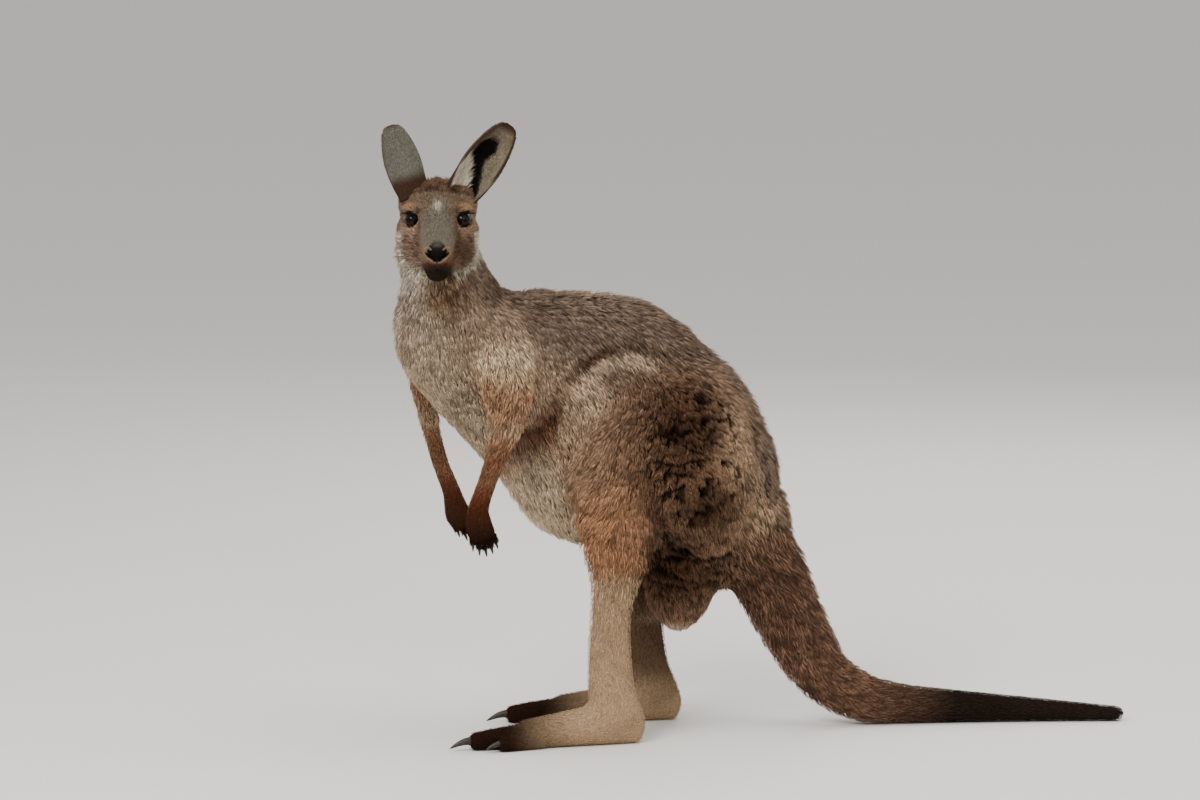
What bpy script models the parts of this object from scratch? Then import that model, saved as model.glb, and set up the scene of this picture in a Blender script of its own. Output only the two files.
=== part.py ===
"""A western grey kangaroo (Macropus fuliginosus) as a still, life-size model, standing on its hind
feet and its tail with its hands hanging together and its head turned to look over its left side.

Metres, +Z up. The hips face -Y and +X is the animal's left. Every outline is the coat's own, out to
the tips of the fur. The sections of the body are tubes carried along smooth paths and plain lumps.
They are melted together by one distance formula, and the melted body is parted by thin cuts.
"""

import math

import bmesh
import bpy
import numpy as np
from mathutils import Matrix, Vector

# Driving sizes. The tables below are in the same metres.
GAP = 0.0003              # clearance between two pieces that meet
VOXEL = 0.006             # grid that first joins the tubes
FINE_STEPS = 10           # sections worked out between two stations of the trunk, tail and thighs
DRAW_STEP = 0.003         # the most that a point moves at a time towards the melted surface
BODY_TRIANGLES = 3000     # of the melted body before it is parted
EYE_RADIUS = 0.0125
EAR_THICK = 0.0045
RIGHT_FOOT_BACK = 0.100   # the right foot stands this much behind the left
RIGHT_KNEE_BACK = 0.080
HEAD_YAW = 79.0           # degrees that the face turns from the hips to the animal's left
HEAD_PITCH = 6.0          # degrees that the face points down
HEAD_AT = (0.105, -0.288, 0.812)   # the middle of the two eyes
ACROSS = (1.0, 0.0, 0.0)

# A station: x, y, z of the middle, half width across, and the two half heights, fore side first
# (for the trunk the fore side is its back, for a leg or an arm it is its front).
TRUNK = [
    (0, 0.212, 0.345, 0.060, 0.064, 0.074),
    (0, 0.175, 0.390, 0.084, 0.107, 0.112),
    (0, 0.120, 0.425, 0.098, 0.156, 0.150),
    (0, 0.045, 0.452, 0.107, 0.196, 0.172),
    (0, -0.030, 0.480, 0.110, 0.210, 0.178),
    (0.002, -0.100, 0.518, 0.106, 0.193, 0.139),
    (0.012, -0.165, 0.562, 0.096, 0.154, 0.116),
    (0.030, -0.215, 0.605, 0.088, 0.118, 0.109),
    (0.046, -0.250, 0.655, 0.080, 0.091, 0.110),
    (0.054, -0.264, 0.705, 0.068, 0.078, 0.085),
    (0.052, -0.268, 0.752, 0.054, 0.060, 0.064),
    (0.044, -0.272, 0.790, 0.046, 0.048, 0.052),
]
TRUNK_TURN = (0, 0, 0, 0, 2, 6, 14, 22, 30, 38, 50, 62)   # degrees, how far the chest turns left
TAIL = [
    (0, 0.190, 0.335, 0.062, 0.062, 0.066),
    (0, 0.238, 0.262, 0.062, 0.064, 0.067),
    (0, 0.272, 0.200, 0.056, 0.060, 0.058),
    (0.002, 0.306, 0.135, 0.051, 0.055, 0.051),
    (0.004, 0.344, 0.081, 0.045, 0.048, 0.042),
    (0.008, 0.400, 0.045, 0.037, 0.042, 0.037),
    (0.013, 0.465, 0.031, 0.031, 0.032, 0.031),
    (0.022, 0.545, 0.0255, 0.0255, 0.027, 0.0255),
    (0.034, 0.627, 0.021, 0.021, 0.0225, 0.021),
    (0.048, 0.709, 0.0165, 0.0165, 0.018, 0.0165),
    (0.066, 0.795, 0.012, 0.012, 0.0135, 0.012),
]
THIGH = [
    (0.045, 0.150, 0.465, 0.056, 0.105, 0.140),
    (0.066, 0.102, 0.452, 0.068, 0.128, 0.158),
    (0.085, 0.048, 0.430, 0.070, 0.133, 0.150),
    (0.098, 0.000, 0.398, 0.060, 0.098, 0.108),
    (0.105, -0.016, 0.355, 0.050, 0.056, 0.075),
]
SHANK = [
    (0.105, -0.014, 0.385, 0.048, 0.058, 0.074),
    (0.105, -0.015, 0.330, 0.045, 0.058, 0.070),
    (0.103, -0.013, 0.290, 0.038, 0.050, 0.060),
    (0.100, -0.015, 0.252, 0.027, 0.039, 0.042),
    (0.098, -0.020, 0.200, 0.023, 0.033, 0.033),
    (0.097, -0.021, 0.140, 0.021, 0.035, 0.034),
    (0.097, -0.018, 0.085, 0.023, 0.038, 0.036),
    (0.097, -0.011, 0.048, 0.025, 0.043, 0.040),
]
FOOT = [
    (0.094, 0.018, 0.026, 0.018, 0.024, 0.030),
    (0.096, -0.026, 0.031, 0.025, 0.032, 0.034),
    (0.100, -0.088, 0.027, 0.0255, 0.027, 0.030),
    (0.105, -0.150, 0.022, 0.025, 0.022, 0.026),
]
TOES = {   # the long fourth toe, the outer fifth, and the second and third in one skin
    "toe_4": [(0.105, -0.150, 0.020, 0.017, 0.020, 0.024),
              (0.108, -0.195, 0.018, 0.0145, 0.017, 0.021),
              (0.110, -0.232, 0.015, 0.012, 0.014, 0.018)],
    "toe_5": [(0.118, -0.135, 0.018, 0.012, 0.014, 0.020),
              (0.130, -0.180, 0.015, 0.0095, 0.012, 0.017),
              (0.133, -0.196, 0.013, 0.0085, 0.010, 0.015)],
    "toes_2_3": [(0.090, -0.135, 0.017, 0.010, 0.012, 0.020),
                 (0.083, -0.172, 0.014, 0.0085, 0.010, 0.016),
                 (0.081, -0.186, 0.012, 0.0075, 0.009, 0.014)],
}
TOE_LINE = -0.158         # where the toes start
TOE_CLAWS = {   # by the toe's number: root, tip and root radius
    4: ((0.110, -0.230, 0.014), (0.112, -0.274, 0.004), 0.0070),
    5: ((0.133, -0.195, 0.013), (0.138, -0.224, 0.0035), 0.0052),
    3: ((0.0845, -0.186, 0.0115), (0.0845, -0.208, 0.0035), 0.0030),
    2: ((0.0775, -0.185, 0.0115), (0.0765, -0.206, 0.0035), 0.0030),
}
ARM_LEFT = [
    (0.078, -0.198, 0.635, 0.036, 0.046, 0.048),
    (0.105, -0.190, 0.592, 0.040, 0.050, 0.050),
    (0.128, -0.186, 0.548, 0.036, 0.040, 0.040),
    (0.140, -0.188, 0.508, 0.028, 0.031, 0.028),
    (0.142, -0.197, 0.474, 0.021, 0.022, 0.019),
    (0.138, -0.208, 0.445, 0.0165, 0.0165, 0.016),
    (0.130, -0.222, 0.403, 0.0145, 0.0145, 0.0145),
    (0.124, -0.230, 0.372, 0.0145, 0.0165, 0.016),
    (0.122, -0.228, 0.348, 0.014, 0.0215, 0.0195),
    (0.121, -0.224, 0.334, 0.012, 0.0215, 0.0205),
]
ARM_RIGHT = [
    (-0.020, -0.272, 0.635, 0.036, 0.040, 0.046),
    (-0.030, -0.283, 0.588, 0.034, 0.034, 0.040),
    (-0.030, -0.284, 0.538, 0.022, 0.022, 0.020),
    (-0.027, -0.275, 0.482, 0.016, 0.016, 0.014),
    (-0.018, -0.263, 0.430, 0.0145, 0.0135, 0.012),
    (-0.004, -0.248, 0.385, 0.014, 0.0145, 0.0135),
    (0.004, -0.240, 0.352, 0.013, 0.020, 0.019),
    (0.008, -0.232, 0.338, 0.012, 0.020, 0.019),
]
FINGER_LONG = (0.019, 0.027, 0.031, 0.028, 0.020)   # inner finger first
FINGER_STEP = 0.0072      # from one finger's root to the next
FINGER_FAN = 5.0          # degrees between two fingers
FINGER_ROOT, FINGER_TIP = (0.0062, 0.0044), (0.0040, 0.0033)   # half width and half height
FINGER_CLAW, FINGER_CLAW_RADIUS = 0.013, 0.0026
HAND_LEAN = {"left": -10.0, "right": -27.0}   # degrees that the fingers point back
# Plain lumps: middle and half axes. The first two are the body's own, the rest are the head's, in
# a frame with its origin between the eyes, x to the animal's left, y back and z up.
SEAT = ((0, 0.125, 0.300), (0.085, 0.085, 0.090))
GROIN = ((0, 0.108, 0.222), (0.042, 0.052, 0.064))
THROAT = ((0.058, -0.312, 0.758), (0.032, 0.030, 0.034))
CRANIUM = ((0, 0.046, 0.004), (0.054, 0.054, 0.048))
CHEEKBONE = ((0.036, 0.018, -0.017), (0.022, 0.029, 0.018))
JAW_MUSCLE = ((0.030, 0.014, -0.043), (0.0235, 0.032, 0.032))
BROW = ((0.034, 0.007, 0.016), (0.018, 0.020, 0.010))
EAR_ROOT = ((0.038, 0.050, 0.020), (0.019, 0.022, 0.022))
NOSE = ((0, -0.092, -0.028), (0.0215, 0.0125, 0.0135))
EYE_AT = (0.0372, -0.001, 0.0)
MUZZLE = [
    (0, 0.020, -0.006, 0.036, 0.036, 0.046),
    (0, -0.020, -0.012, 0.030, 0.029, 0.041),
    (0, -0.050, -0.020, 0.027, 0.025, 0.036),
    (0, -0.076, -0.028, 0.0235, 0.0205, 0.030),
    (0, -0.090, -0.033, 0.0205, 0.0165, 0.030),
]
CHIN = [
    (0, 0.012, -0.056, 0.034, 0.020, 0.020),
    (0, -0.030, -0.061, 0.025, 0.018, 0.016),
    (0, -0.066, -0.067, 0.0170, 0.013, 0.014),
]
# Ears, in the head's frame: root, tip, the way that the hollow side faces, and the half width.
EARS = {
    "ear_left": ((0.035, 0.029, 0.031), (0.110, 0.046, 0.136), (0.15, -0.97, -0.12), 0.0300),
    "ear_right": ((-0.038, 0.042, 0.030), (-0.0715, 0.072, 0.131), (-0.45, 0.88, 0.10), 0.0280),
}

# Cuts: a point of the cutting plane, the way to the piece that comes off, and the width both ways
# and the length of the box that holds it. The head's is in the head's frame, a leg's is the left's.
KNEE_SHARE = 0.82         # of the foot's way back, where the shank is cut
LEG_CUTS = {
    "foot": ((0.103, -0.100, 0.070), (0, 0, -1), (0.12, 0.40), 0.10),
    "toe_4": ((0.105, TOE_LINE, 0.030), (0, -1, 0), (0.16, 0.08), 0.16),
    "toe_5": ((0.120, TOE_LINE - 0.04, 0.030), (1, 0, 0), (0.10, 0.18), 0.06),
    "toes_2_3": ((0.0915, TOE_LINE - 0.04, 0.030), (-1, 0, 0), (0.10, 0.18), 0.06),
    "shank": ((0.113, -0.010, 0.335), (0, 0, -1), (0.116, 0.20), 0.33),
    "thigh": ((0.088, 0.080, 0.430), (1, 0, 0), (0.50, 0.36), 0.15),
}
CUTS = {
    "forearm_left": ((0.142, -0.199, 0.470), (-0.15, -0.30, -0.94), (0.06, 0.06), 0.22),
    "forearm_right": ((-0.027, -0.2735, 0.484), (0.22, 0.24, -0.94), (0.06, 0.046), 0.22),
    "hand_left": ((0.1238, -0.230, 0.370), (-0.05, 0.03, -1), (0.06, 0.06), 0.08),
    "hand_right": ((-0.001, -0.2465, 0.378), (0.2, 0.2, -1), (0.06, 0.06), 0.08),
    "upper_arm_left": ((0.122, -0.190, 0.640), (0.26, -0.02, -0.96), (0.066, 0.115), 0.20),
    "upper_arm_right": ((-0.062, -0.290, 0.640), (0.06, 0.03, -1), (0.08, 0.14), 0.20),
    "tail_tip": ((0.034, 0.627, 0.021), (0.16, 1, -0.055), (0.08, 0.08), 0.30),
    "tail_end": ((0.013, 0.465, 0.031), (0.1, 1, -0.10), (0.10, 0.10), 0.18),
    "tail_middle": ((0.002, 0.306, 0.135), (0.03, 0.52, -0.85), (0.16, 0.20), 0.28),
    "tail_base": ((0, 0.240, 0.265), (0, 0.48, -0.88), (0.18, 0.18), 0.16),
    "head": ((0, 0.115, -0.018), (0, -0.6, 0.8), (0.42, 0.42), 0.25),
    "neck": ((0.052, -0.262, 0.678), (0.17, -0.29, 0.94), (0.30, 0.30), 0.16),
    "chest": ((0.012, -0.150, 0.560), (0.1, -0.85, 0.50), (0.40, 0.50), 0.30),
    "rump": ((0, 0.060, 0.440), (0, 0.87, -0.48), (0.40, 0.50), 0.35),
}

COLOURS = {   # base colour and roughness by the first word of a node's name
    "head": ((0.22, 0.15, 0.11), 0.9), "neck": ((0.30, 0.25, 0.19), 0.9),
    "chest": ((0.36, 0.31, 0.25), 0.9), "belly": ((0.33, 0.28, 0.22), 0.9),
    "rump": ((0.17, 0.12, 0.085), 0.9), "tail": ((0.12, 0.085, 0.06), 0.9),
    "thigh": ((0.19, 0.13, 0.09), 0.9), "shank": ((0.33, 0.25, 0.18), 0.9),
    "foot": ((0.10, 0.07, 0.05), 0.9), "toe": ((0.05, 0.035, 0.03), 0.9),
    "toes": ((0.05, 0.035, 0.03), 0.9), "upper": ((0.37, 0.26, 0.17), 0.9),
    "forearm": ((0.20, 0.11, 0.07), 0.9), "hand": ((0.035, 0.022, 0.018), 0.9),
    "ear": ((0.14, 0.12, 0.11), 0.9), "eye": ((0.010, 0.006, 0.005), 0.06),
    "claw": ((0.018, 0.014, 0.013), 0.35),
}


def unit(rows):
    """Each row divided by its own length."""
    return rows / np.maximum(np.linalg.norm(rows, axis=-1, keepdims=True), 1e-12)


def smooth(rows, steps=5):
    """Catmull-Rom curve through the rows, with so many steps from one row to the next."""
    rows = np.asarray(rows, float)
    ends = np.vstack([2 * rows[0] - rows[1], rows, 2 * rows[-1] - rows[-2]])
    f = (np.arange(steps) / steps)[:, None]
    out = []
    for a, b, c, d in zip(ends, ends[1:], ends[2:], ends[3:]):
        out.append(0.5 * (2*b + (c - a)*f + (2*a - 5*b + 4*c - d)*f**2 + (3*b - a - 3*c + d)*f**3))
    return np.vstack(out + [rows[-1:]])


class Tube:
    """A tube of elliptic section along a smooth path, with round ends."""

    def __init__(self, stations, side, melt, steps=5):
        rows = smooth(stations, steps)
        self.middle, self.half = rows[:, :3], np.maximum(rows[:, 3:6], 5e-4)
        self.along = unit(np.gradient(self.middle, axis=0))
        side = np.asarray(side, float)
        side = np.tile(side, (len(rows), 1)) if side.ndim == 1 else smooth(side, steps)
        self.side = unit(side - (side * self.along).sum(1, keepdims=True) * self.along)
        self.fore = np.cross(self.along, self.side)
        self.melt = melt
        reach = self.half.max(1)[:, None]
        self.low, self.high = (self.middle - reach).min(0), (self.middle + reach).max(0)

    def span(self, p, i):
        """Distance of the points p from the stretch that starts at row i."""
        step = self.middle[i + 1] - self.middle[i]
        f = np.clip(((p - self.middle[i]) * step).sum(1) / (step**2).sum(1), 0, 1)[:, None]
        between = lambda rows: rows[i] * (1 - f) + rows[i + 1] * f
        q = p - between(self.middle)
        x, y, z = ((q * between(v)).sum(1) for v in (self.side, self.fore, self.along))
        half = between(self.half)
        tall = np.where(y > 0, half[:, 1], half[:, 2])
        deep = np.minimum(half[:, 0], tall)
        scaled = np.sqrt((x / half[:, 0])**2 + (y / tall)**2 + (z / deep)**2)
        return (scaled - 1) * np.sqrt(x*x + y*y + z*z) / np.maximum(scaled, 1e-6)

    def distance(self, p):
        nearest = np.argmin(((p[:, None, :] - self.middle[None])**2).sum(2), axis=1)
        last = len(self.middle) - 2
        return np.minimum(self.span(p, np.clip(nearest - 1, 0, last)),
                          self.span(p, np.clip(nearest, 0, last)))

    def mesh(self, sides=16, round_ends=True, grow=0.0):
        """The tube as a closed loft: rings round the path, and rings that shrink round each end."""
        turn = np.arange(sides) * 2 * math.pi / sides
        c, s = np.cos(turn)[:, None], np.sin(turn)[:, None]
        half = self.half + grow
        caps = np.radians((25, 50, 72)) if round_ends else ()
        rings = [(0, -math.sin(a), math.cos(a)) for a in reversed(caps)]
        rings += [(i, 0, 1) for i in range(len(self.middle))]
        rings += [(len(self.middle) - 1, math.sin(a), math.cos(a)) for a in caps]
        points = []
        for i, push, shrink in rings:
            tall = np.where(s > 0, half[i, 1], half[i, 2])
            centre = self.middle[i] + self.along[i] * push * min(half[i])
            points.append(centre + shrink * (c * half[i, 0] * self.side[i] + s * tall * self.fore[i]))
        bm = bmesh.new()
        grid = [[bm.verts.new(p) for p in ring] for ring in points]
        for a, b in zip(grid, grid[1:]):
            for k in range(sides):
                bm.faces.new((a[k], a[(k + 1) % sides], b[(k + 1) % sides], b[k]))
        bm.faces.new(list(reversed(grid[0])))
        bm.faces.new(grid[-1])
        return bm


class Lump:
    """An ellipsoid: its middle, its half axes and the way it is turned."""

    def __init__(self, middle, half, melt, turn=None):
        self.middle, self.half, self.melt = np.asarray(middle, float), np.asarray(half, float), melt
        self.turn = np.eye(3) if turn is None else turn
        reach = np.sqrt(((self.turn * self.half)**2).sum(1))
        self.low, self.high = self.middle - reach, self.middle + reach

    def distance(self, p):
        q = (p - self.middle) @ self.turn
        scaled = np.linalg.norm(q / self.half, axis=1)
        return scaled * (scaled - 1) / np.maximum(np.linalg.norm(q / self.half**2, axis=1), 1e-9)

    def mesh(self):
        bm = bmesh.new()
        bmesh.ops.create_uvsphere(bm, u_segments=20, v_segments=12, radius=1.0)
        place = np.eye(4)
        place[:3, :3], place[:3, 3] = self.turn * self.half, self.middle
        bm.transform(Matrix(place.tolist()))
        return bm


def head_turn():
    """The head's own axes as columns: yawed to the left, then pitched down."""
    yaw, pitch = math.radians(HEAD_YAW), math.radians(HEAD_PITCH)
    return np.array(Matrix.Rotation(yaw, 3, "Z") @ Matrix.Rotation(pitch, 3, "X"))


def from_head(point):
    """A point of the head's frame in the model's frame."""
    return np.array(HEAD_AT) + head_turn() @ np.asarray(point, float)


def head_tube(stations, melt):
    rows = [tuple(from_head(row[:3])) + tuple(row[3:]) for row in stations]
    return Tube(rows, head_turn()[:, 0], melt)


def head_lump(lump, melt, side=1):
    middle, half = lump
    return Lump(from_head(np.array(middle) * (side, 1, 1)), half, melt, head_turn())


def mirrored(stations, side, back_first, back_last):
    """The stations of a left limb for either side, moved back by an amount that grows along it."""
    back = np.linspace(back_first, back_last, len(stations))
    return [(x * side, y + b) + tuple(rest) for (x, y, *rest), b in zip(stations, back)]


def shapes():
    """Every tube and lump of the melted body."""
    turned = [(math.cos(math.radians(a)), math.sin(math.radians(a)), 0) for a in TRUNK_TURN]
    made = [Tube(TRUNK, turned, 0.03, FINE_STEPS), Tube(TAIL, ACROSS, 0.05, FINE_STEPS)]
    for side, knee, foot in ((1, 0, 0), (-1, RIGHT_KNEE_BACK, RIGHT_FOOT_BACK)):
        made.append(Tube(mirrored(THIGH, side, 0, knee), ACROSS, 0.035, FINE_STEPS))
        made.append(Tube(mirrored(SHANK, side, knee, foot), ACROSS, 0.022))
        made.append(Tube(mirrored(FOOT, side, foot, foot), ACROSS, 0.016))
        made += [Tube(mirrored(toe, side, foot, foot), ACROSS, 0.006) for toe in TOES.values()]
    made += [Tube(arm, ACROSS, 0.022) for arm in (ARM_LEFT, ARM_RIGHT)]
    made += [Lump(*SEAT, 0.05), Lump(*GROIN, 0.03), Lump(*THROAT, 0.03), head_lump(CRANIUM, 0.03)]
    made += [head_tube(MUZZLE, 0.02), head_tube(CHIN, 0.016), head_lump(NOSE, 0.006)]
    for side in (1, -1):
        made += [head_lump(CHEEKBONE, 0.016, side), head_lump(JAW_MUSCLE, 0.022, side)]
        made += [head_lump(BROW, 0.014, side), head_lump(EAR_ROOT, 0.020, side)]
    return made


def melted(made, p):
    """Distance from the whole body: the shapes' distances joined by a smooth minimum, one by one."""
    d = np.full(len(p), 0.06)
    for shape in made:
        near = shape.melt + 0.02
        m = ((p > shape.low - near) & (p < shape.high + near)).all(1)
        if not m.any():
            continue
        new = shape.distance(p[m])
        k = shape.melt
        h = np.maximum(k - np.abs(d[m] - new), 0) / k
        d[m] = np.minimum(d[m], new) - h * h * k / 4
    return d


def collection(name):
    found = bpy.data.collections.new(name)
    bpy.context.scene.collection.children.link(found)
    return found


def add(name, bm, home):
    """A new object from a bmesh."""
    mesh = bpy.data.meshes.new(name)
    bm.to_mesh(mesh)
    bm.free()
    return put_in(bpy.data.objects.new(name, mesh), home)


def put_in(piece, home):
    """Link the piece to its collection. What is in TOOLS only shapes the others and never shows."""
    home.objects.link(piece)
    piece.hide_render = home is TOOLS
    piece.display_type = "WIRE" if home is TOOLS else "TEXTURED"
    return piece


def settle(piece):
    """Put the result of the piece's modifiers into its mesh."""
    graph = bpy.context.evaluated_depsgraph_get()
    done = bpy.data.meshes.new_from_object(piece.evaluated_get(graph))
    piece.modifiers.clear()
    piece.data = done
    return piece


def boolean(piece, tool, operation):
    """Cut the piece by the tool, or join or cross them, with the manifold solver."""
    step = piece.modifiers.new(operation.lower(), "BOOLEAN")
    step.operation, step.solver, step.object = operation, "MANIFOLD", tool
    return settle(piece)


def copy_of(piece, name, home):
    twin = piece.copy()
    twin.data = piece.data.copy()
    twin.name = name
    return put_in(twin, home)


def largest_only(piece):
    """Remove the slivers that a cut leaves beside the piece, each smaller than a fingertip."""
    bm = bmesh.new()
    bm.from_mesh(piece.data)
    left, bodies = set(bm.verts), []
    while left:
        one, edge = set(), [left.pop()]
        while edge:
            point = edge.pop()
            one.add(point)
            near = {e.other_vert(point) for e in point.link_edges} & left
            left -= near
            edge.extend(near)
        bodies.append(one)
    bodies.sort(key=lambda one: (-len(one), min(v.index for v in one)))
    for sliver in bodies[1:]:
        bmesh.ops.delete(bm, geom=list(sliver), context="VERTS")
    bm.to_mesh(piece.data)
    bm.free()


def drop(piece):
    bpy.data.objects.remove(piece, do_unlink=True)


def melted_body():
    """The body in one piece: tubes and lumps joined on a grid, drawn onto the melted surface."""
    made = shapes()
    bm = bmesh.new()
    for shape in made:
        part = shape.mesh()
        scratch = bpy.data.meshes.new("scratch")
        part.to_mesh(scratch)
        part.free()
        bm.from_mesh(scratch)
        bpy.data.meshes.remove(scratch)
    body = add("body", bm, TOOLS)
    for rounds in (6, 2):
        grid = body.modifiers.new("join", "REMESH")
        grid.mode, grid.voxel_size = "VOXEL", VOXEL
        settle(body)
        for _ in range(rounds):
            draw_onto(body, made)
    relax(body, 5)
    thin_out(body)
    floor = block((0, 0.2, -0.05), (1.0, 1.5, 0.1))
    boolean(body, floor, "DIFFERENCE")
    drop(floor)
    return body


def draw_onto(body, made):
    """Even out the mesh and move each point along its normal by its distance from the surface."""
    bm = bmesh.new()
    bm.from_mesh(body.data)
    bmesh.ops.smooth_vert(bm, verts=bm.verts, factor=0.5, use_axis_x=True, use_axis_y=True, use_axis_z=True)
    bm.to_mesh(body.data)
    bm.free()
    count = len(body.data.vertices)
    p, n = np.empty(count * 3), np.empty(count * 3)
    body.data.vertices.foreach_get("co", p)
    body.data.vertices.foreach_get("normal", n)
    p, n = p.reshape(-1, 3), n.reshape(-1, 3)
    p -= np.clip(melted(made, p), -DRAW_STEP, DRAW_STEP)[:, None] * n
    body.data.vertices.foreach_set("co", p.ravel())
    body.data.update()


def relax(body, rounds):
    """Smooth away what the grid leaves on the surface."""
    smoother = body.modifiers.new("relax", "SMOOTH")
    smoother.factor, smoother.iterations = 0.5, rounds
    settle(body)


def thin_out(body):
    """Fewer triangles: edges collapse where the body is plain, and stay where it bends."""
    faces = sum(len(face.vertices) - 2 for face in body.data.polygons)
    fewer = body.modifiers.new("fewer", "DECIMATE")
    fewer.ratio = BODY_TRIANGLES / faces
    settle(body)


def block(centre, size, along=(0.0, 0.0, -1.0)):
    """A box of full size (x, y, length) whose length lies along the given direction."""
    bm = bmesh.new()
    bmesh.ops.create_cube(bm, size=1.0)
    bmesh.ops.scale(bm, vec=size, verts=bm.verts)
    turn = Vector((0, 0, -1)).rotation_difference(Vector(along).normalized())
    bm.transform(Matrix.Translation(centre) @ turn.to_matrix().to_4x4())
    return add("block", bm, TOOLS)


def part_off(body, name, at, along, across, length):
    """Take off the piece of the body beyond the point `at`, in a box `across` wide and `length` long."""
    along = Vector(along).normalized()
    middle = Vector(at) + along * (length / 2)
    piece = copy_of(body, name, PARTS)
    inner = block(middle, (across[0], across[1], length), along)
    boolean(piece, inner, "INTERSECT")
    drop(inner)
    outer = block(middle, (across[0] + 2*GAP, across[1] + 2*GAP, length + 2*GAP), along)
    boolean(body, outer, "DIFFERENCE")
    drop(outer)
    return piece


def claw_tube(root, tip, radius, grow=0.0):
    """A claw: a tapered tube that bends down towards its tip."""
    root, tip = np.array(root, float), np.array(tip, float)
    level = abs(tip - root)[1] > abs(tip - root)[2]   # a toe's claw, which a finger's isn't
    rows = []
    for f, thick in ((0.0, 1.0), (0.5, 0.8), (1.0, 0.16)):
        rise = 0.10 * np.linalg.norm(tip - root) * math.sin(math.pi * f) if level else 0
        point = root + (tip - root) * f + (0, 0, rise)
        rows.append(tuple(point) + (0.8 * radius * thick, radius * thick, radius * thick))
    across = np.cross(tip - root, (0, 0, 1.0)) if level else ACROSS
    return Tube(rows, across, 0.0, steps=1).mesh(sides=6, round_ends=False, grow=grow)


def set_claw(host, name, root, tip, radius):
    """A claw let into the end of a finger or toe, with a gap all round."""
    claw = add(name, claw_tube(root, tip, radius), PARTS)
    socket = add("socket", claw_tube(root, tip, radius, GAP), TOOLS)
    bm = bmesh.new()
    bm.from_mesh(socket.data)
    back = (Vector(root) - Vector(tip)).normalized() * GAP
    bmesh.ops.translate(bm, verts=[v for v in bm.verts if (v.co - Vector(root)).length < 2*radius], vec=back)
    bm.to_mesh(socket.data)
    bm.free()
    boolean(host, socket, "DIFFERENCE")
    drop(socket)
    return claw


def fingers(hand, word, last):
    """Five fingers in a fan below the palm, joined to the hand, each with a claw."""
    made = []
    for i, long in enumerate(FINGER_LONG):
        turn = math.radians(HAND_LEAN[word] + FINGER_FAN * (i - 2))
        way = np.array((0, -math.sin(turn), -math.cos(turn)))
        root = np.array(last[:3]) + (0, -FINGER_STEP * (i - 2), 0.004)
        made.append((root, way, long))
        rows = [tuple(root + way * long * f) + (*half, half[1])
                for f, half in ((0, FINGER_ROOT), (0.6, FINGER_ROOT), (1, FINGER_TIP))]
        finger = add("finger", Tube(rows, ACROSS, 0.0, steps=1).mesh(sides=6, round_ends=False), TOOLS)
        boolean(hand, finger, "UNION")
        drop(finger)
    for i, (root, way, long) in enumerate(made):
        root = root + way * long * 0.88
        set_claw(hand, f"claw_hand_{word}_{i + 1}", root, root + way * FINGER_CLAW, FINGER_CLAW_RADIUS)


def ear_sheet(root, tip, faces, half_width):
    """The ear's middle surface: a leaf that is rolled at its root and opens towards its tip."""
    root, tip = from_head(root), from_head(tip)
    up = unit(tip - root)
    front = head_turn() @ np.array(faces)
    front = unit(front - (front @ up) * up)
    across = np.cross(up, front)
    s = np.linspace(0, 1, 8)[:, None]
    v = np.linspace(-1, 1, 7)[None, :]
    width = half_width * np.interp(s, (0, 0.15, 0.38, 0.58, 0.78, 0.92, 1.0),
                                 (0.82, 0.92, 1.04, 1.0, 0.82, 0.56, 0.20))
    roll = np.radians(np.interp(s, (0, 0.25, 0.6, 1.0), (118, 84, 58, 40)))
    sideways = width * np.sin(v * roll) / np.maximum(np.sin(np.minimum(roll, math.pi / 2)), 0.1)
    inwards = width * (np.cos(v * roll) - np.cos(roll)) / np.maximum(1 - np.cos(roll), 0.3) * 0.55
    grid = (root + (tip - root) * s[..., None] + across * sideways[..., None] - front * inwards[..., None])
    bm = bmesh.new()
    rows = [[bm.verts.new(p) for p in row] for row in grid]
    for a, b in zip(rows, rows[1:]):
        for k in range(len(a) - 1):
            bm.faces.new((a[k], b[k], b[k + 1], a[k + 1]))
    return bm


def add_ear(name, head):
    """An ear as a shell that starts just outside the head."""
    ear = add(name, ear_sheet(*EARS[name]), PARTS)
    shell = ear.modifiers.new("shell", "SOLIDIFY")
    shell.thickness, shell.offset = EAR_THICK, 0.0
    settle(ear)
    fix_normals(ear)
    around = copy_of(head, "around_head", TOOLS)
    count = len(around.data.vertices)
    p, n = np.empty(count * 3), np.empty(count * 3)
    around.data.vertices.foreach_get("co", p)
    around.data.vertices.foreach_get("normal", n)
    around.data.vertices.foreach_set("co", p + 2 * GAP * n)
    around.data.update()
    boolean(ear, around, "DIFFERENCE")
    drop(around)
    return ear


def fix_normals(piece):
    bm = bmesh.new()
    bm.from_mesh(piece.data)
    bmesh.ops.recalc_face_normals(bm, faces=bm.faces)
    bm.to_mesh(piece.data)
    bm.free()


def add_eye(name, head, side):
    """An eyeball in a socket of the head."""
    centre = from_head(np.array(EYE_AT) * (side, 1, 1))
    for label, home, radius in ((name, PARTS, EYE_RADIUS), ("socket", TOOLS, EYE_RADIUS + GAP)):
        bm = bmesh.new()
        bmesh.ops.create_uvsphere(bm, u_segments=12, v_segments=8, radius=radius)
        bm.transform(Matrix.Translation(centre))
        ball = add(label, bm, home)
    boolean(head, ball, "DIFFERENCE")
    drop(ball)


def paint(piece):
    """Each piece's own material, by the first word of its name."""
    colour, rough = COLOURS[piece.name.split("_")[0]]
    look = bpy.data.materials.new(piece.name)
    look.use_nodes = True
    skin = look.node_tree.nodes["Principled BSDF"]
    skin.inputs["Base Color"].default_value = (*colour, 1)
    skin.inputs["Roughness"].default_value = rough
    piece.data.materials.clear()
    piece.data.materials.append(look)
    piece.data.shade_smooth()


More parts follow.
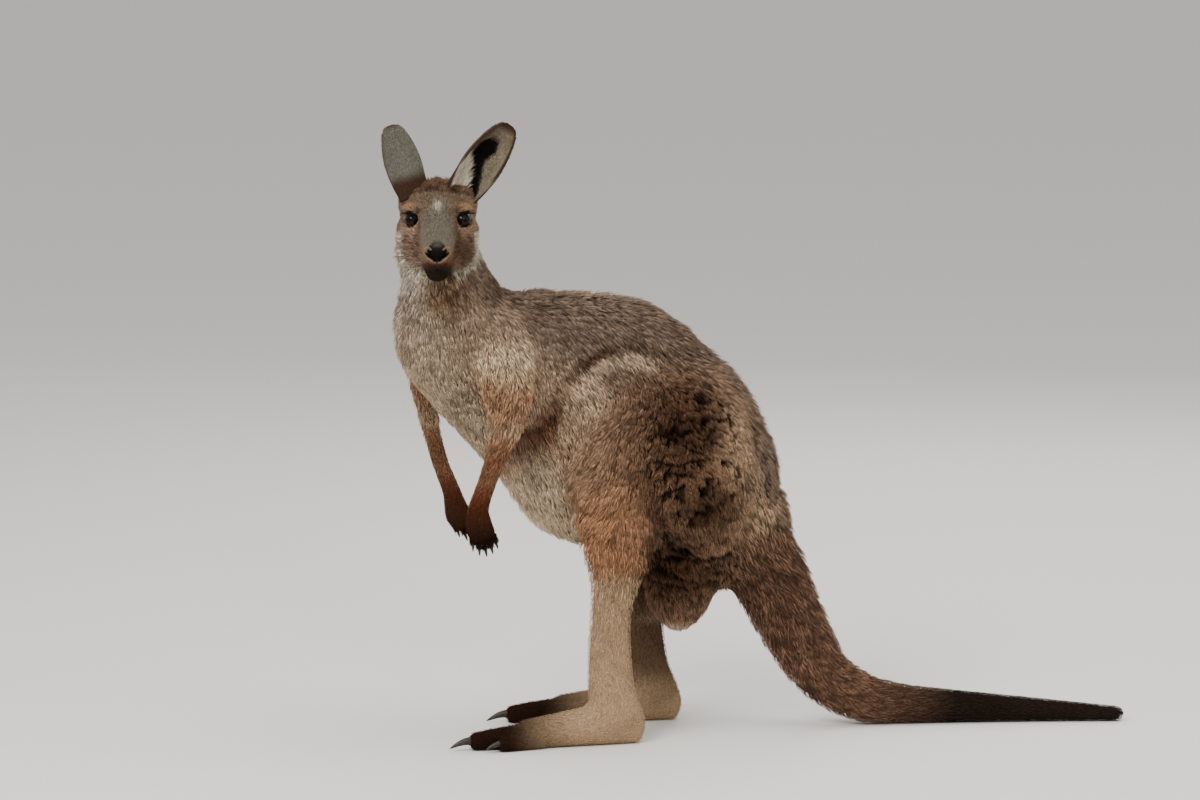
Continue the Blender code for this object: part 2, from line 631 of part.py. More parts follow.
def part_legs(body):
    for word, side, foot_back, hip_back in (("left", 1, 0, 0),
                                            ("right", -1, RIGHT_FOOT_BACK, RIGHT_KNEE_BACK / 2)):
        foot = cut_leg(body, "foot", word, side, foot_back)
        toe_4 = cut_leg(foot, "toe_4", word, side, foot_back)
        toe_5 = cut_leg(toe_4, "toe_5", word, side, foot_back)
        toes_2_3 = cut_leg(toe_4, "toes_2_3", word, side, foot_back)
        for claw, host in ((4, toe_4), (5, toe_5), (3, toes_2_3), (2, toes_2_3)):
            root, tip, radius = TOE_CLAWS[claw]
            ends = [(x * side, y + foot_back, z) for x, y, z in (root, tip)]
            set_claw(host, f"claw_foot_{word}_{claw}", *ends, radius)
        cut_leg(body, "shank", word, side, foot_back * KNEE_SHARE)
        cut_leg(body, "thigh", word, side, hip_back)


def cut_leg(body, name, word, side, back):
    """A cut of LEG_CUTS for either side, moved back with its leg."""
    (x, y, z), (dx, dy, dz), across, length = LEG_CUTS[name]
    return part_off(body, f"{name}_{word}", (x * side, y + back, z), (dx * side, dy, dz), across, length)


def part_arms(body):
    for word, arm in (("left", ARM_LEFT), ("right", ARM_RIGHT)):
        forearm = part_off(body, f"forearm_{word}", *CUTS[f"forearm_{word}"])
        hand = part_off(forearm, f"hand_{word}", *CUTS[f"hand_{word}"])
        fingers(hand, word, arm[-1])
        part_off(body, f"upper_arm_{word}", *CUTS[f"upper_arm_{word}"])


def part_trunk(body):
    """The tail, neck, chest and rump come off in turn, and what is left of the body is the belly."""
    for name in ("tail_tip", "tail_end", "tail_middle", "tail_base"):
        part_off(body, name, *CUTS[name])
    at, along, across, length = CUTS["head"]
    head = part_off(body, "head", from_head(at), head_turn() @ np.array(along), across, length)
    for name in ("neck", "chest", "rump"):
        part_off(body, name, *CUTS[name])
    body.name = "belly"
    TOOLS.objects.unlink(body)
    put_in(body, PARTS)
    return head


def stand_on_origin():
    """Move every piece so that the middle of the whole box stands on the origin."""
    points = []
    for piece in PARTS.objects:
        p = np.empty(len(piece.data.vertices) * 3)
        piece.data.vertices.foreach_get("co", p)
        points.append(p.reshape(-1, 3))
    every = np.vstack(points)
    shift = -(every.min(0) + every.max(0)) / 2
    shift[2] = -every[:, 2].min()
    for piece, p in zip(PARTS.objects, points):
        piece.data.vertices.foreach_set("co", (p + shift).ravel())
        piece.data.update()
    print("moved by", shift, "size", every.max(0) - every.min(0))


for old in list(bpy.data.objects):
    bpy.data.objects.remove(old, do_unlink=True)
PARTS, TOOLS = collection("kangaroo"), collection("tools")
whole = melted_body()
part_legs(whole)
part_arms(whole)
head = part_trunk(whole)
for word, side in (("left", 1), ("right", -1)):
    add_eye(f"eye_{word}", head, side)
    add_ear(f"ear_{word}", head)
for left_over in list(TOOLS.objects):
    drop(left_over)
for piece in PARTS.objects:
    largest_only(piece)
    paint(piece)
stand_on_origin()
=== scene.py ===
"""The looks of a western grey kangaroo, life size: one skin over the whole body, solid tufts of fur
that follow the lie of the coat, wet eyes, a dark nose and horn claws, in a plain pale studio.

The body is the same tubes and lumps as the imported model's, melted together by one distance formula.
The skin lies under that surface by the depth of the coat, and the tufts' tips reach it.
"""

import math
from contextlib import contextmanager

import bmesh
import bpy
import numpy as np
from mathutils import Matrix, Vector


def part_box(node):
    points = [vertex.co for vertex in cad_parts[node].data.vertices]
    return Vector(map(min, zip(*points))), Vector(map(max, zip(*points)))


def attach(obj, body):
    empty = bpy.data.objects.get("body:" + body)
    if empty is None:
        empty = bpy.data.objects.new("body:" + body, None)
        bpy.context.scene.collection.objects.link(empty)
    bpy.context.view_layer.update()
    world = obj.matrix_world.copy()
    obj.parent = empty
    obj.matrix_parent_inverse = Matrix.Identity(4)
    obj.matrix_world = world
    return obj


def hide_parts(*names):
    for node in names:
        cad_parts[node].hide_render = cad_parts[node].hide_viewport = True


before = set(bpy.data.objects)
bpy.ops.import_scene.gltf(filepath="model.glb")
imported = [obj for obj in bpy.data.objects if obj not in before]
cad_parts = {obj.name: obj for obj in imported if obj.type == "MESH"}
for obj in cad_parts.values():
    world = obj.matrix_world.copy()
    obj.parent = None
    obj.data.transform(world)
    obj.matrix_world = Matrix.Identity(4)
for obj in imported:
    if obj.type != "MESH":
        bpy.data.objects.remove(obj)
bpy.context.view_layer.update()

# ---------------------------------------------------------------- driving sizes, in metres
VOXEL = 0.005             # grid that first joins the tubes of the skin
FINE_STEPS = 10           # sections worked out between two stations of the trunk, tail and thighs
DRAW_STEP = 0.003         # the most that a point of the skin moves at a time
NEAR = 0.02               # how far past its melt a tube or lump still counts
FAR = 0.06                # the distance of a point that is near none of them
BLEND = 0.010             # how softly depth, lie and colour pass from one to the next
EYE_RADIUS = 0.0125
LID_OPEN = 52.0           # degrees from the eye's axis to the rim of its lids
LID_THICK, LID_UPPER = 0.0019, 0.0006   # the lids' roll, and how much fuller the upper one is
EYE_WAY = (0.50, -0.86, 0.07)      # the left eye's axis in the head's frame
EYE_RINGS, EYE_SIDES = 40, 48
EAR_THICK, EAR_INSET = 0.0036, 0.0004   # the leaf, and how far its edge lies inside the outline
EAR_RINGS, EAR_SIDES = 40, 56
EAR_SUNK = 0.06           # how far the ear goes on into the head, as a share of its length
FLOOR_GAP = 0.0002
RIGHT_FOOT_BACK = 0.100
RIGHT_KNEE_BACK = 0.080
RIGHT_THIGH_BACK = 0.040  # half-way along the thigh, for its markings and its lie
# Each leg's side of the body, and how far back its knee and its foot are.
LEGS = (("left", 1, 0, 0), ("right", -1, RIGHT_KNEE_BACK, RIGHT_FOOT_BACK))
HEAD_YAW, HEAD_PITCH = 79.0, 6.0   # degrees, to the left and down
HEAD_AT = (0.105, -0.288, 0.812)   # the middle of the two eyes, before PLACE is added
SEEN_UP, SEEN_BACK = 0.974, 0.225  # the height in a view from in front, from the head's z and y
ACROSS = (1.0, 0.0, 0.0)

# A station: x, y, z of the middle, half width across, and the two half heights, fore side first.
TRUNK = [
    (0, 0.212, 0.345, 0.060, 0.064, 0.074),
    (0, 0.175, 0.390, 0.084, 0.107, 0.112),
    (0, 0.120, 0.425, 0.098, 0.156, 0.150),
    (0, 0.045, 0.452, 0.107, 0.196, 0.172),
    (0, -0.030, 0.480, 0.110, 0.210, 0.178),
    (0.002, -0.100, 0.518, 0.106, 0.193, 0.139),
    (0.012, -0.165, 0.562, 0.096, 0.154, 0.116),
    (0.030, -0.215, 0.605, 0.088, 0.118, 0.109),
    (0.046, -0.250, 0.655, 0.080, 0.091, 0.110),
    (0.054, -0.264, 0.705, 0.068, 0.078, 0.085),
    (0.052, -0.268, 0.752, 0.054, 0.060, 0.064),
    (0.044, -0.272, 0.790, 0.046, 0.048, 0.052),
]
TRUNK_TURN = (0, 0, 0, 0, 2, 6, 14, 22, 30, 38, 50, 62)   # degrees, how far the chest turns left
TAIL = [
    (0, 0.190, 0.335, 0.062, 0.062, 0.066),
    (0, 0.238, 0.262, 0.062, 0.064, 0.067),
    (0, 0.272, 0.200, 0.056, 0.060, 0.058),
    (0.002, 0.306, 0.135, 0.051, 0.055, 0.051),
    (0.004, 0.344, 0.081, 0.045, 0.048, 0.042),
    (0.008, 0.400, 0.045, 0.037, 0.042, 0.037),
    (0.013, 0.465, 0.031, 0.031, 0.032, 0.031),
    (0.022, 0.545, 0.0255, 0.0255, 0.027, 0.0255),
    (0.034, 0.627, 0.021, 0.021, 0.0225, 0.021),
    (0.048, 0.709, 0.0165, 0.0165, 0.018, 0.0165),
    (0.066, 0.795, 0.012, 0.012, 0.0135, 0.012),
]
THIGH = [
    (0.045, 0.150, 0.465, 0.056, 0.105, 0.140),
    (0.066, 0.102, 0.452, 0.068, 0.128, 0.158),
    (0.085, 0.048, 0.430, 0.070, 0.133, 0.150),
    (0.098, 0.000, 0.398, 0.060, 0.098, 0.108),
    (0.105, -0.016, 0.355, 0.050, 0.056, 0.075),
]
SHANK = [
    (0.105, -0.014, 0.385, 0.048, 0.058, 0.074),
    (0.105, -0.015, 0.330, 0.045, 0.058, 0.070),
    (0.103, -0.013, 0.290, 0.038, 0.050, 0.060),
    (0.100, -0.015, 0.252, 0.027, 0.039, 0.042),
    (0.098, -0.020, 0.200, 0.023, 0.033, 0.033),
    (0.097, -0.021, 0.140, 0.021, 0.035, 0.034),
    (0.097, -0.018, 0.085, 0.023, 0.038, 0.036),
    (0.097, -0.011, 0.048, 0.025, 0.043, 0.040),
]
FOOT = [
    (0.094, 0.018, 0.026, 0.018, 0.024, 0.030),
    (0.096, -0.026, 0.031, 0.025, 0.032, 0.034),
    (0.100, -0.088, 0.027, 0.0255, 0.027, 0.030),
    (0.105, -0.150, 0.022, 0.025, 0.022, 0.026),
]
TOES = {   # the long fourth toe, the outer fifth, and the second and third in one skin
    "toe_4": [(0.105, -0.150, 0.020, 0.017, 0.020, 0.024),
              (0.108, -0.195, 0.018, 0.0145, 0.017, 0.021),
              (0.110, -0.232, 0.015, 0.012, 0.014, 0.018)],
    "toe_5": [(0.118, -0.135, 0.018, 0.012, 0.014, 0.020),
              (0.130, -0.180, 0.015, 0.0095, 0.012, 0.017),
              (0.133, -0.196, 0.013, 0.0085, 0.010, 0.015)],
    "toes_2_3": [(0.090, -0.135, 0.017, 0.010, 0.012, 0.020),
                 (0.083, -0.172, 0.014, 0.0085, 0.010, 0.016),
                 (0.081, -0.186, 0.012, 0.0075, 0.009, 0.014)],
}
TOE_CLAWS = {   # by the toe's number: root, tip and root radius
    4: ((0.110, -0.226, 0.014), (0.112, -0.274, 0.004), 0.0070),
    5: ((0.133, -0.191, 0.013), (0.138, -0.224, 0.0035), 0.0052),
    3: ((0.0845, -0.182, 0.0115), (0.0845, -0.208, 0.0035), 0.0030),
    2: ((0.0775, -0.181, 0.0115), (0.0765, -0.206, 0.0035), 0.0030),
}
ARM_LEFT = [
    (0.078, -0.198, 0.635, 0.036, 0.046, 0.048),
    (0.105, -0.190, 0.592, 0.040, 0.050, 0.050),
    (0.128, -0.186, 0.548, 0.036, 0.040, 0.040),
    (0.140, -0.188, 0.508, 0.028, 0.031, 0.028),
    (0.142, -0.197, 0.474, 0.021, 0.022, 0.019),
    (0.138, -0.208, 0.445, 0.0165, 0.0165, 0.016),
    (0.130, -0.222, 0.403, 0.0145, 0.0145, 0.0145),
    (0.124, -0.230, 0.372, 0.0145, 0.0165, 0.016),
    (0.122, -0.228, 0.348, 0.014, 0.0215, 0.0195),
    (0.121, -0.224, 0.334, 0.012, 0.0215, 0.0205),
]
ARM_RIGHT = [
    (-0.020, -0.272, 0.635, 0.036, 0.040, 0.046),
    (-0.030, -0.283, 0.588, 0.034, 0.034, 0.040),
    (-0.030, -0.284, 0.538, 0.022, 0.022, 0.020),
    (-0.027, -0.275, 0.482, 0.016, 0.016, 0.014),
    (-0.018, -0.263, 0.430, 0.0145, 0.0135, 0.012),
    (-0.004, -0.248, 0.385, 0.014, 0.0145, 0.0135),
    (0.004, -0.240, 0.352, 0.013, 0.020, 0.019),
    (0.008, -0.232, 0.338, 0.012, 0.020, 0.019),
]
FINGER_LONG = (0.019, 0.027, 0.031, 0.028, 0.020)   # inner finger first
FINGER_STEP, FINGER_FAN = 0.0072, 5.0
FINGER_THICK = 0.0046
FINGER_CLAW, FINGER_CLAW_RADIUS = 0.013, 0.0024
FINGER_HAIRS = 280
HAND_LEAN = {"left": -10.0, "right": -27.0}   # degrees that the fingers point back
SEAT = ((0, 0.125, 0.300), (0.085, 0.085, 0.090))
GROIN = ((0, 0.108, 0.222), (0.042, 0.052, 0.064))
THROAT = ((0.058, -0.312, 0.758), (0.032, 0.030, 0.034))
# The head's lumps and tubes, from between the eyes: x to its left, y back and z up.
CRANIUM = ((0, 0.046, 0.004), (0.054, 0.054, 0.048))
CHEEKBONE = ((0.036, 0.018, -0.017), (0.022, 0.029, 0.018))
JAW_MUSCLE = ((0.030, 0.014, -0.043), (0.0235, 0.032, 0.032))
BROW = ((0.034, 0.007, 0.016), (0.018, 0.020, 0.010))
EAR_ROOT = ((0.038, 0.050, 0.020), (0.019, 0.022, 0.022))
NOSE = ((0, -0.092, -0.028), (0.0215, 0.0125, 0.0135))
EYE_AT = (0.0372, -0.001, 0.0)
MUZZLE = [
    (0, 0.020, -0.006, 0.036, 0.036, 0.046),
    (0, -0.020, -0.012, 0.030, 0.029, 0.041),
    (0, -0.050, -0.020, 0.027, 0.025, 0.036),
    (0, -0.076, -0.028, 0.0235, 0.0205, 0.030),
    (0, -0.090, -0.033, 0.0205, 0.0165, 0.030),
]
CHIN = [
    (0, 0.012, -0.056, 0.034, 0.020, 0.020),
    (0, -0.030, -0.061, 0.025, 0.018, 0.016),
    (0, -0.066, -0.067, 0.0170, 0.013, 0.014),
]
# Ears, in the head's frame: root, tip, the way that the hollow side faces, and the half width.
EARS = {
    "left": ((0.035, 0.029, 0.031), (0.110, 0.046, 0.136), (0.15, -0.97, -0.12), 0.0300),
    "right": ((-0.038, 0.042, 0.030), (-0.0715, 0.072, 0.131), (-0.45, 0.88, 0.10), 0.0280),
}
# Lines of the face, folded onto its left half.
MOUTH = ((0.0, -0.0945, -0.0595), (0.010, -0.090, -0.0610), (0.020, -0.076, -0.0625),
         (0.0285, -0.054, -0.0630))
# The white stripe under the cheek, as (distance from the middle line, height).
CHEEK_LINE = ((0.0575, -0.024), (0.0570, -0.050), (0.0525, -0.063), (0.0405, -0.0775),
              (0.0265, -0.0865))
PHILTRUM = ((0, -0.105, -0.042), (0, -0.101, -0.050), (0, -0.0945, -0.0590))
NOSTRIL = ((0.0035, -0.1045, -0.0405), (0.0090, -0.1025, -0.0365), (0.0135, -0.0990, -0.0328),
           (0.0166, -0.0955, -0.0292))

# The coat's colours, as linear light
GREY_BROWN, FLANK, BROWN = (0.190, 0.134, 0.099), (0.35, 0.250, 0.172), (0.225, 0.134, 0.084)
DARK_BROWN, LIGHT_BROWN = (0.050, 0.024, 0.013), (0.32, 0.205, 0.132)
RUST, BUFF, PALE_BUFF = (0.40, 0.205, 0.110), (0.46, 0.315, 0.190), (0.68, 0.51, 0.355)
CREAM, CHEST_GREY, ORANGE_BUFF = (0.46, 0.355, 0.250), (0.32, 0.235, 0.160), (0.36, 0.190, 0.105)
FOREARM_RUST, PAW = (0.25, 0.118, 0.064), (0.020, 0.0080, 0.0045)
TAIL_BROWN, TAIL_BLACK = (0.185, 0.102, 0.066), (0.022, 0.014, 0.010)
# The first colour of the next line is red fur under painted shade, for the creases behind the arm.
RED_FUR_IN_PAINTED_SHADE, NECK_DARK = (0.100, 0.033, 0.016), (0.070, 0.042, 0.026)
BRIDGE_GREY, CHEEK_RED = (0.150, 0.135, 0.108), (0.120, 0.055, 0.036)
CHEEK_BUFF, PINK_BUFF = (0.215, 0.138, 0.091), (0.40, 0.235, 0.138)
BROW_BUFF, FOREHEAD, CROWN = (0.34, 0.195, 0.108), (0.150, 0.108, 0.074), (0.030, 0.015, 0.010)
LID_DARK, EYE_RING, FACE_DARK = (0.008, 0.005, 0.004), (0.30, 0.20, 0.135), (0.050, 0.024, 0.015)
PAD_BROWN, THROAT_PALE = (0.010, 0.007, 0.0055), (0.47, 0.41, 0.33)
# The second colour of the next line is the lips' dark skin, also used as painted shade on the lower
# lip and chin.
NOSE_BLACK, LIP_DARK_AND_CHIN_SHADE = (0.004, 0.003, 0.002), (0.006, 0.004, 0.003)
LIP_BROWN, CROWN_RED = (0.075, 0.034, 0.022), (0.080, 0.039, 0.024)
WHITE, CHIN_TUFT = (0.52, 0.47, 0.38), (0.24, 0.130, 0.072)
EAR_GREY, EAR_DARK, EAR_PALE = (0.120, 0.112, 0.092), (0.004, 0.003, 0.002), (0.19, 0.160, 0.115)
EAR_RIM, EAR_BASE, EAR_BROWN = (0.045, 0.024, 0.014), (0.040, 0.022, 0.013), (0.085, 0.048, 0.032)
PUPIL, HORN_BLACK = (0.002, 0.002, 0.002), (0.022, 0.017, 0.014, 1)


# ---------------------------------------------------------------- the melted body
def unit(rows):
    """Each row divided by its own length."""
    return rows / np.maximum(np.linalg.norm(rows, axis=-1, keepdims=True), 1e-12)


def dot(a, b):
    """The product of each row with the other's row."""
    return (a * b).sum(-1)


def flat(rows, axis):
    """Each row less what of it lies along the axis."""
    return rows - dot(rows, axis)[:, None] * axis


def fold(p):
    """The points with the right half laid over the left: |x|, y and z."""
    return np.column_stack([np.abs(p[:, 0]), p[:, 1:]])


def step(low, high, x):
    """0 below low, 1 above high, and 3f^2 - 2f^3 of the share f between them."""
    f = np.clip((x - low) / (high - low), 0, 1)
    return f * f * (3 - 2 * f)


def between(rows, i, f):
    """The rows' value at the share f of the way from row i to the next."""
    return rows[i] * (1 - f) + rows[i + 1] * f


def circle(sides):
    """So many angles round a circle, evenly spaced from 0."""
    return np.arange(sides) * 2 * math.pi / sides


def smooth(rows, steps=5):
    """Catmull-Rom curve through the rows, with so many steps from one row to the next."""
    rows = np.asarray(rows, float)
    ends = np.vstack([2 * rows[0] - rows[1], rows, 2 * rows[-1] - rows[-2]])
    f = (np.arange(steps) / steps)[:, None]
    out = []
    for a, b, c, d in zip(ends, ends[1:], ends[2:], ends[3:]):
        out.append(0.5 * (2*b + (c - a)*f + (2*a - 5*b + 4*c - d)*f**2 + (3*b - a - 3*c + d)*f**3))
    return np.vstack(out + [rows[-1:]])


def melt_in(a, b, k):
    """Smooth minimum of two distances over the width k."""
    h = np.maximum(k - np.abs(a - b), 0) / k
    return np.minimum(a, b) - h * h * k / 4


class Tube:
    """A tube of elliptic section along a smooth path, with the coat's depth at its two ends."""

    def __init__(self, zone, stations, side, melt, depth, steps=5):
        rows = smooth(stations, steps)
        self.zone, self.melt, self.depth = zone, melt, depth
        self.middle, self.half = rows[:, :3], np.maximum(rows[:, 3:6], 5e-4)
        self.along = unit(np.gradient(self.middle, axis=0))
        side = np.asarray(side, float)
        side = np.tile(side, (len(rows), 1)) if side.ndim == 1 else smooth(side, steps)
        self.side = unit(flat(side, self.along))
        self.fore = np.cross(self.along, self.side)
        reach = self.half.max(1)[:, None]
        self.low, self.high = (self.middle - reach).min(0), (self.middle + reach).max(0)

    def span(self, p, i):
        """Distance of the points p from the stretch after row i, and the place along it."""
        go = self.middle[i + 1] - self.middle[i]
        share = np.clip(dot(p - self.middle[i], go) / dot(go, go), 0, 1)
        f = share[:, None]
        q = p - between(self.middle, i, f)
        x, y, z = (dot(q, between(rows, i, f)) for rows in (self.side, self.fore, self.along))
        half = between(self.half, i, f)
        tall = np.where(y > 0, half[:, 1], half[:, 2])
        deep = np.minimum(half[:, 0], tall)
        scaled = np.sqrt((x / half[:, 0])**2 + (y / tall)**2 + (z / deep)**2)
        return (scaled - 1) * np.sqrt(x*x + y*y + z*z) / np.maximum(scaled, 1e-6), i + share

    def measure(self, p):
        """Distance of each point, and the nearest place along the path from 0 to 1."""
        nearest = np.argmin(((p[:, None, :] - self.middle[None])**2).sum(2), axis=1)
        last = len(self.middle) - 2
        d0, s0 = self.span(p, np.clip(nearest - 1, 0, last))
        d1, s1 = self.span(p, np.clip(nearest, 0, last))
        return np.minimum(d0, d1), np.where(d0 < d1, s0, s1) / (last + 1)

    def at(self, s, rows):
        """The rows' value at the shares s of the path."""
        place = s * (len(self.middle) - 1)
        i = np.clip(place.astype(int), 0, len(self.middle) - 2)
        return between(rows, i, (place - i)[:, None])

    def round_place(self, p, s):
        """Where the points lie in the section at the shares s: across it and to its fore side."""
        away = p - self.at(s, self.middle)
        return dot(away, self.at(s, self.side)), dot(away, self.at(s, self.fore))

    def loft(self, sides=16):
        """The tube as a closed loft: rings round the path, and rings that shrink round each end."""
        c, s = np.cos(circle(sides))[:, None], np.sin(circle(sides))[:, None]
        caps = np.radians((25, 50, 72))
        rings = [(0, -math.sin(a), math.cos(a)) for a in reversed(caps)]
        rings += [(i, 0, 1) for i in range(len(self.middle))]
        rings += [(len(self.middle) - 1, math.sin(a), math.cos(a)) for a in caps]
        points = []
        for i, push, shrink in rings:
            tall = np.where(s > 0, self.half[i, 1], self.half[i, 2])
            centre = self.middle[i] + self.along[i] * push * min(self.half[i])
            ring = c * self.half[i, 0] * self.side[i] + s * tall * self.fore[i]
            points.append(centre + shrink * ring)
        return lattice(np.array(points))


class Lump:
    """An ellipsoid of the body or the head, with the coat's depth over it."""

    def __init__(self, zone, middle, half, melt, depth, turn=None):
        self.zone, self.melt, self.depth = zone, melt, (depth, depth)
        self.middle, self.half = np.asarray(middle, float), np.asarray(half, float)
        self.turn = np.eye(3) if turn is None else turn
        reach = np.sqrt(((self.turn * self.half)**2).sum(1))
        self.low, self.high = self.middle - reach, self.middle + reach

    def measure(self, p):
        """Distance of each point, and its height in the lump from 0 to 1."""
        q = (p - self.middle) @ self.turn
        scaled = np.linalg.norm(q / self.half, axis=1)
        d = scaled * (scaled - 1) / np.maximum(np.linalg.norm(q / self.half**2, axis=1), 1e-9)
        return d, np.clip(q[:, 2] / self.half[2] * 0.5 + 0.5, 0, 1)

    def round_place(self, p, s):
        """Where the points lie across the lump and along it."""
        q = (p - self.middle) @ self.turn
        return q[:, 0], q[:, 1]

    def loft(self):
        """The ellipsoid as rings of latitude."""
        up = np.radians(np.linspace(-84, 84, 13))[:, None]
        turn = circle(20)[None, :]
        ball = np.stack([np.cos(up) * np.cos(turn), np.cos(up) * np.sin(turn),
                         np.sin(up) + 0 * turn], -1)
        return lattice(self.middle + (ball * self.half) @ self.turn.T)


def lattice(points):
    """Vertices and faces of a stack of rings: quads between the rings, and a face over each end."""
    rows, sides = points.shape[:2]
    i, k = np.meshgrid(np.arange(rows - 1), np.arange(sides), indexing="ij")
    after = (k + 1) % sides
    quads = np.stack([i*sides + k, i*sides + after, (i + 1)*sides + after, (i + 1)*sides + k], -1)
    ends = [list(range(sides - 1, -1, -1)), list(range((rows - 1) * sides, rows * sides))]
    return points.reshape(-1, 3), quads.reshape(-1, 4).tolist() + ends


def rings_of(middle, side, up, wide, tall, thick, sides):
    """A lattice of elliptic rings round a middle line, so wide and tall for their thickness."""
    turn = circle(sides)[None, :, None]
    ring = np.cos(turn) * side * wide + np.sin(turn) * up * tall
    return lattice(middle[:, None] + ring * thick[:, None, None])


def head_turn():
    """The head's own axes as columns: yawed to the left, then pitched down."""
    yaw, pitch = math.radians(HEAD_YAW), math.radians(HEAD_PITCH)
    return np.array(Matrix.Rotation(yaw, 3, "Z") @ Matrix.Rotation(pitch, 3, "X"))


TURN = head_turn()


def from_head(point):
    """A point of the head's frame in the body's frame."""
    return np.array(HEAD_AT) + np.asarray(point, float) @ TURN.T


def to_head(p):
    """Points of the body's frame in the head's frame."""
    return (p - np.array(HEAD_AT)) @ TURN


def face_view(side):
    """Folded points of the head seen from in front: distance from the middle line, and height."""
    return np.column_stack([side[:, 0], SEEN_UP * side[:, 2] + SEEN_BACK * side[:, 1]])


def mirrored(stations, side, back_first, back_last):
    """The stations of a left limb for either side, moved back by an amount that grows along it."""
    back = np.linspace(back_first, back_last, len(stations))
    return [(x * side, y + b) + tuple(rest) for (x, y, *rest), b in zip(stations, back)]


def thigh_y(p, zone):
    """How far back the points are on the thigh, with the right one brought level with the left."""
    return p[:, 1] - (RIGHT_THIGH_BACK if zone.endswith("right") else 0)


def head_tube(stations, melt, depth):
    """A tube that is given in the head's frame."""
    rows = [(*from_head(row[:3]), *row[3:]) for row in stations]
    return Tube("head", rows, TURN[:, 0], melt, depth)


def head_lump(lump, melt, depth, side=1):
    """A lump that is given in the head's frame, on either side."""
    middle, half = lump
    return Lump("head", from_head(np.array(middle) * (side, 1, 1)), half, melt, depth, TURN)


def lie(shape, p, s):
    """The way that the fur of one shape lies.

    Over the face it lies back from the nose, and aside and up from the middle line; down the
    trunk's sides and back; down the thighs, forward at their front edge; down the other lumps;
    and along every other tube.
    """
    if shape.zone == "head":
        aside = 0.35 * np.tanh(to_head(p)[:, 0] / 0.02)
        way = np.stack([aside, np.ones(len(p)), np.full(len(p), 0.15)], 1)
        return way @ TURN.T
    if isinstance(shape, Lump):
        return np.tile((0.0, 0.2, -1.0), (len(p), 1))
    if shape.zone == "trunk":
        return -shape.at(s, shape.along) + (0, 0, -1.4)
    if shape.zone.startswith("thigh"):
        back = np.interp(thigh_y(p, shape.zone), (-0.10, -0.02, 0.08, 0.20),
                         (-0.50, -0.35, 0.05, 0.30))
        return np.stack([np.zeros(len(p)), back, -np.ones(len(p))], 1)
    return shape.at(s, shape.along)


def body_shapes():
    """Every tube and lump of the melted body, with its melt and the coat's depth at its ends."""
    turned = [(math.cos(math.radians(a)), math.sin(math.radians(a)), 0) for a in TRUNK_TURN]
    made = [Tube("trunk", TRUNK, turned, 0.03, (0.011, 0.009), FINE_STEPS),
            Tube("tail", TAIL, ACROSS, 0.05, (0.010, 0.0030), FINE_STEPS)]
    for word, side, knee, foot in LEGS:
        thigh, shank = mirrored(THIGH, side, 0, knee), mirrored(SHANK, side, knee, foot)
        made += [Tube(f"thigh_{word}", thigh, ACROSS, 0.035, (0.012, 0.011), FINE_STEPS),
                 Tube(f"shank_{word}", shank, ACROSS, 0.022, (0.010, 0.0022)),
                 Tube(f"foot_{word}", mirrored(FOOT, side, foot, foot), ACROSS, 0.016,
                      (0.0020, 0.0020))]
        made += [Tube(f"foot_{word}", mirrored(toe, side, foot, foot), ACROSS, 0.006,
                      (0.0018, 0.0016)) for toe in TOES.values()]
    made += [Tube("arm_left", ARM_LEFT, ACROSS, 0.022, (0.010, 0.0012)),
             Tube("arm_right", ARM_RIGHT, ACROSS, 0.022, (0.009, 0.0012)),
             Lump("trunk", *SEAT, 0.05, 0.010), Lump("trunk", *GROIN, 0.03, 0.008),
             Lump("throat", *THROAT, 0.03, 0.009),
             head_lump(CRANIUM, 0.03, 0.0040), head_tube(MUZZLE, 0.02, (0.0040, 0.0008)),
             head_tube(CHIN, 0.016, (0.0045, 0.0010)), head_lump(NOSE, 0.006, 0.0004)]
    for side in (1, -1):
        made += [head_lump(lump, melt, depth, side) for lump, melt, depth in (
            (CHEEKBONE, 0.016, 0.0030), (JAW_MUSCLE, 0.022, 0.0050), (BROW, 0.014, 0.0022),
            (EAR_ROOT, 0.020, 0.0050))]
    return made


SHAPES = body_shapes()


def survey(p, wanted=()):
    """The melted distance of the points, the coat's depth there, and what else is asked for.

    The shapes' distances are joined by a smooth minimum, one by one. Depth, lie and colour are the
    shapes' own, weighed by exp(-distance / BLEND).
    """
    n = len(p)
    d, depth, total = np.full(n, FAR), np.zeros(n), np.full(n, 1e-12)
    flow, colour = np.zeros((n, 3)), np.zeros((n, 3))
    best, owner, place = np.full(n, -1.0), np.zeros(n, int), np.zeros(n)
    for j, shape in enumerate(SHAPES):
        near = shape.melt + NEAR
        m = np.flatnonzero(((p > shape.low - near) & (p < shape.high + near)).all(1))
        if not len(m):
            continue
        q = p[m]
        new, s = shape.measure(q)
        d[m] = melt_in(d[m], new, shape.melt)
        w = np.exp(-np.clip(new, -8 * BLEND, 8 * BLEND) / BLEND)
        total[m] += w
        depth[m] += w * (shape.depth[0] + (shape.depth[1] - shape.depth[0]) * step(0.05, 0.95, s))
        better = w > best[m]
        best[m[better]], owner[m[better]], place[m[better]] = w[better], j, s[better]
        if "flow" in wanted:
            flow[m] += w[:, None] * unit(lie(shape, q, s))
        if "colour" in wanted:
            colour[m] += w[:, None] * ZONE_COLOURS[shape.zone.split("_")[0]](q, s, shape)
    found = {"d": d, "depth": depth / total, "owner": owner, "place": place}
    if "flow" in wanted:
        found["flow"] = unit(flow)
    if "colour" in wanted:
        found["colour"] = body_marks(p, colour / total[:, None])
    return found


# ---------------------------------------------------------------- patterns without images
def chance(cell, salt=0):
    """A number from 0 to 1 for each whole-number cell: the cell's numbers mixed by multiplying."""
    c = cell.astype(np.int64)
    h = (c[:, 0] * 73856093) ^ (c[:, 1] * 19349663) ^ (c[:, 2] * 83492791) ^ (salt * 2654435761)
    h = (h ^ (h >> 13)) * 1274126177 & 0x7FFFFFFF
    h = (h ^ (h >> 16)) * 668265263 & 0x7FFFFFFF
    return (h % 65521) / 65521.0


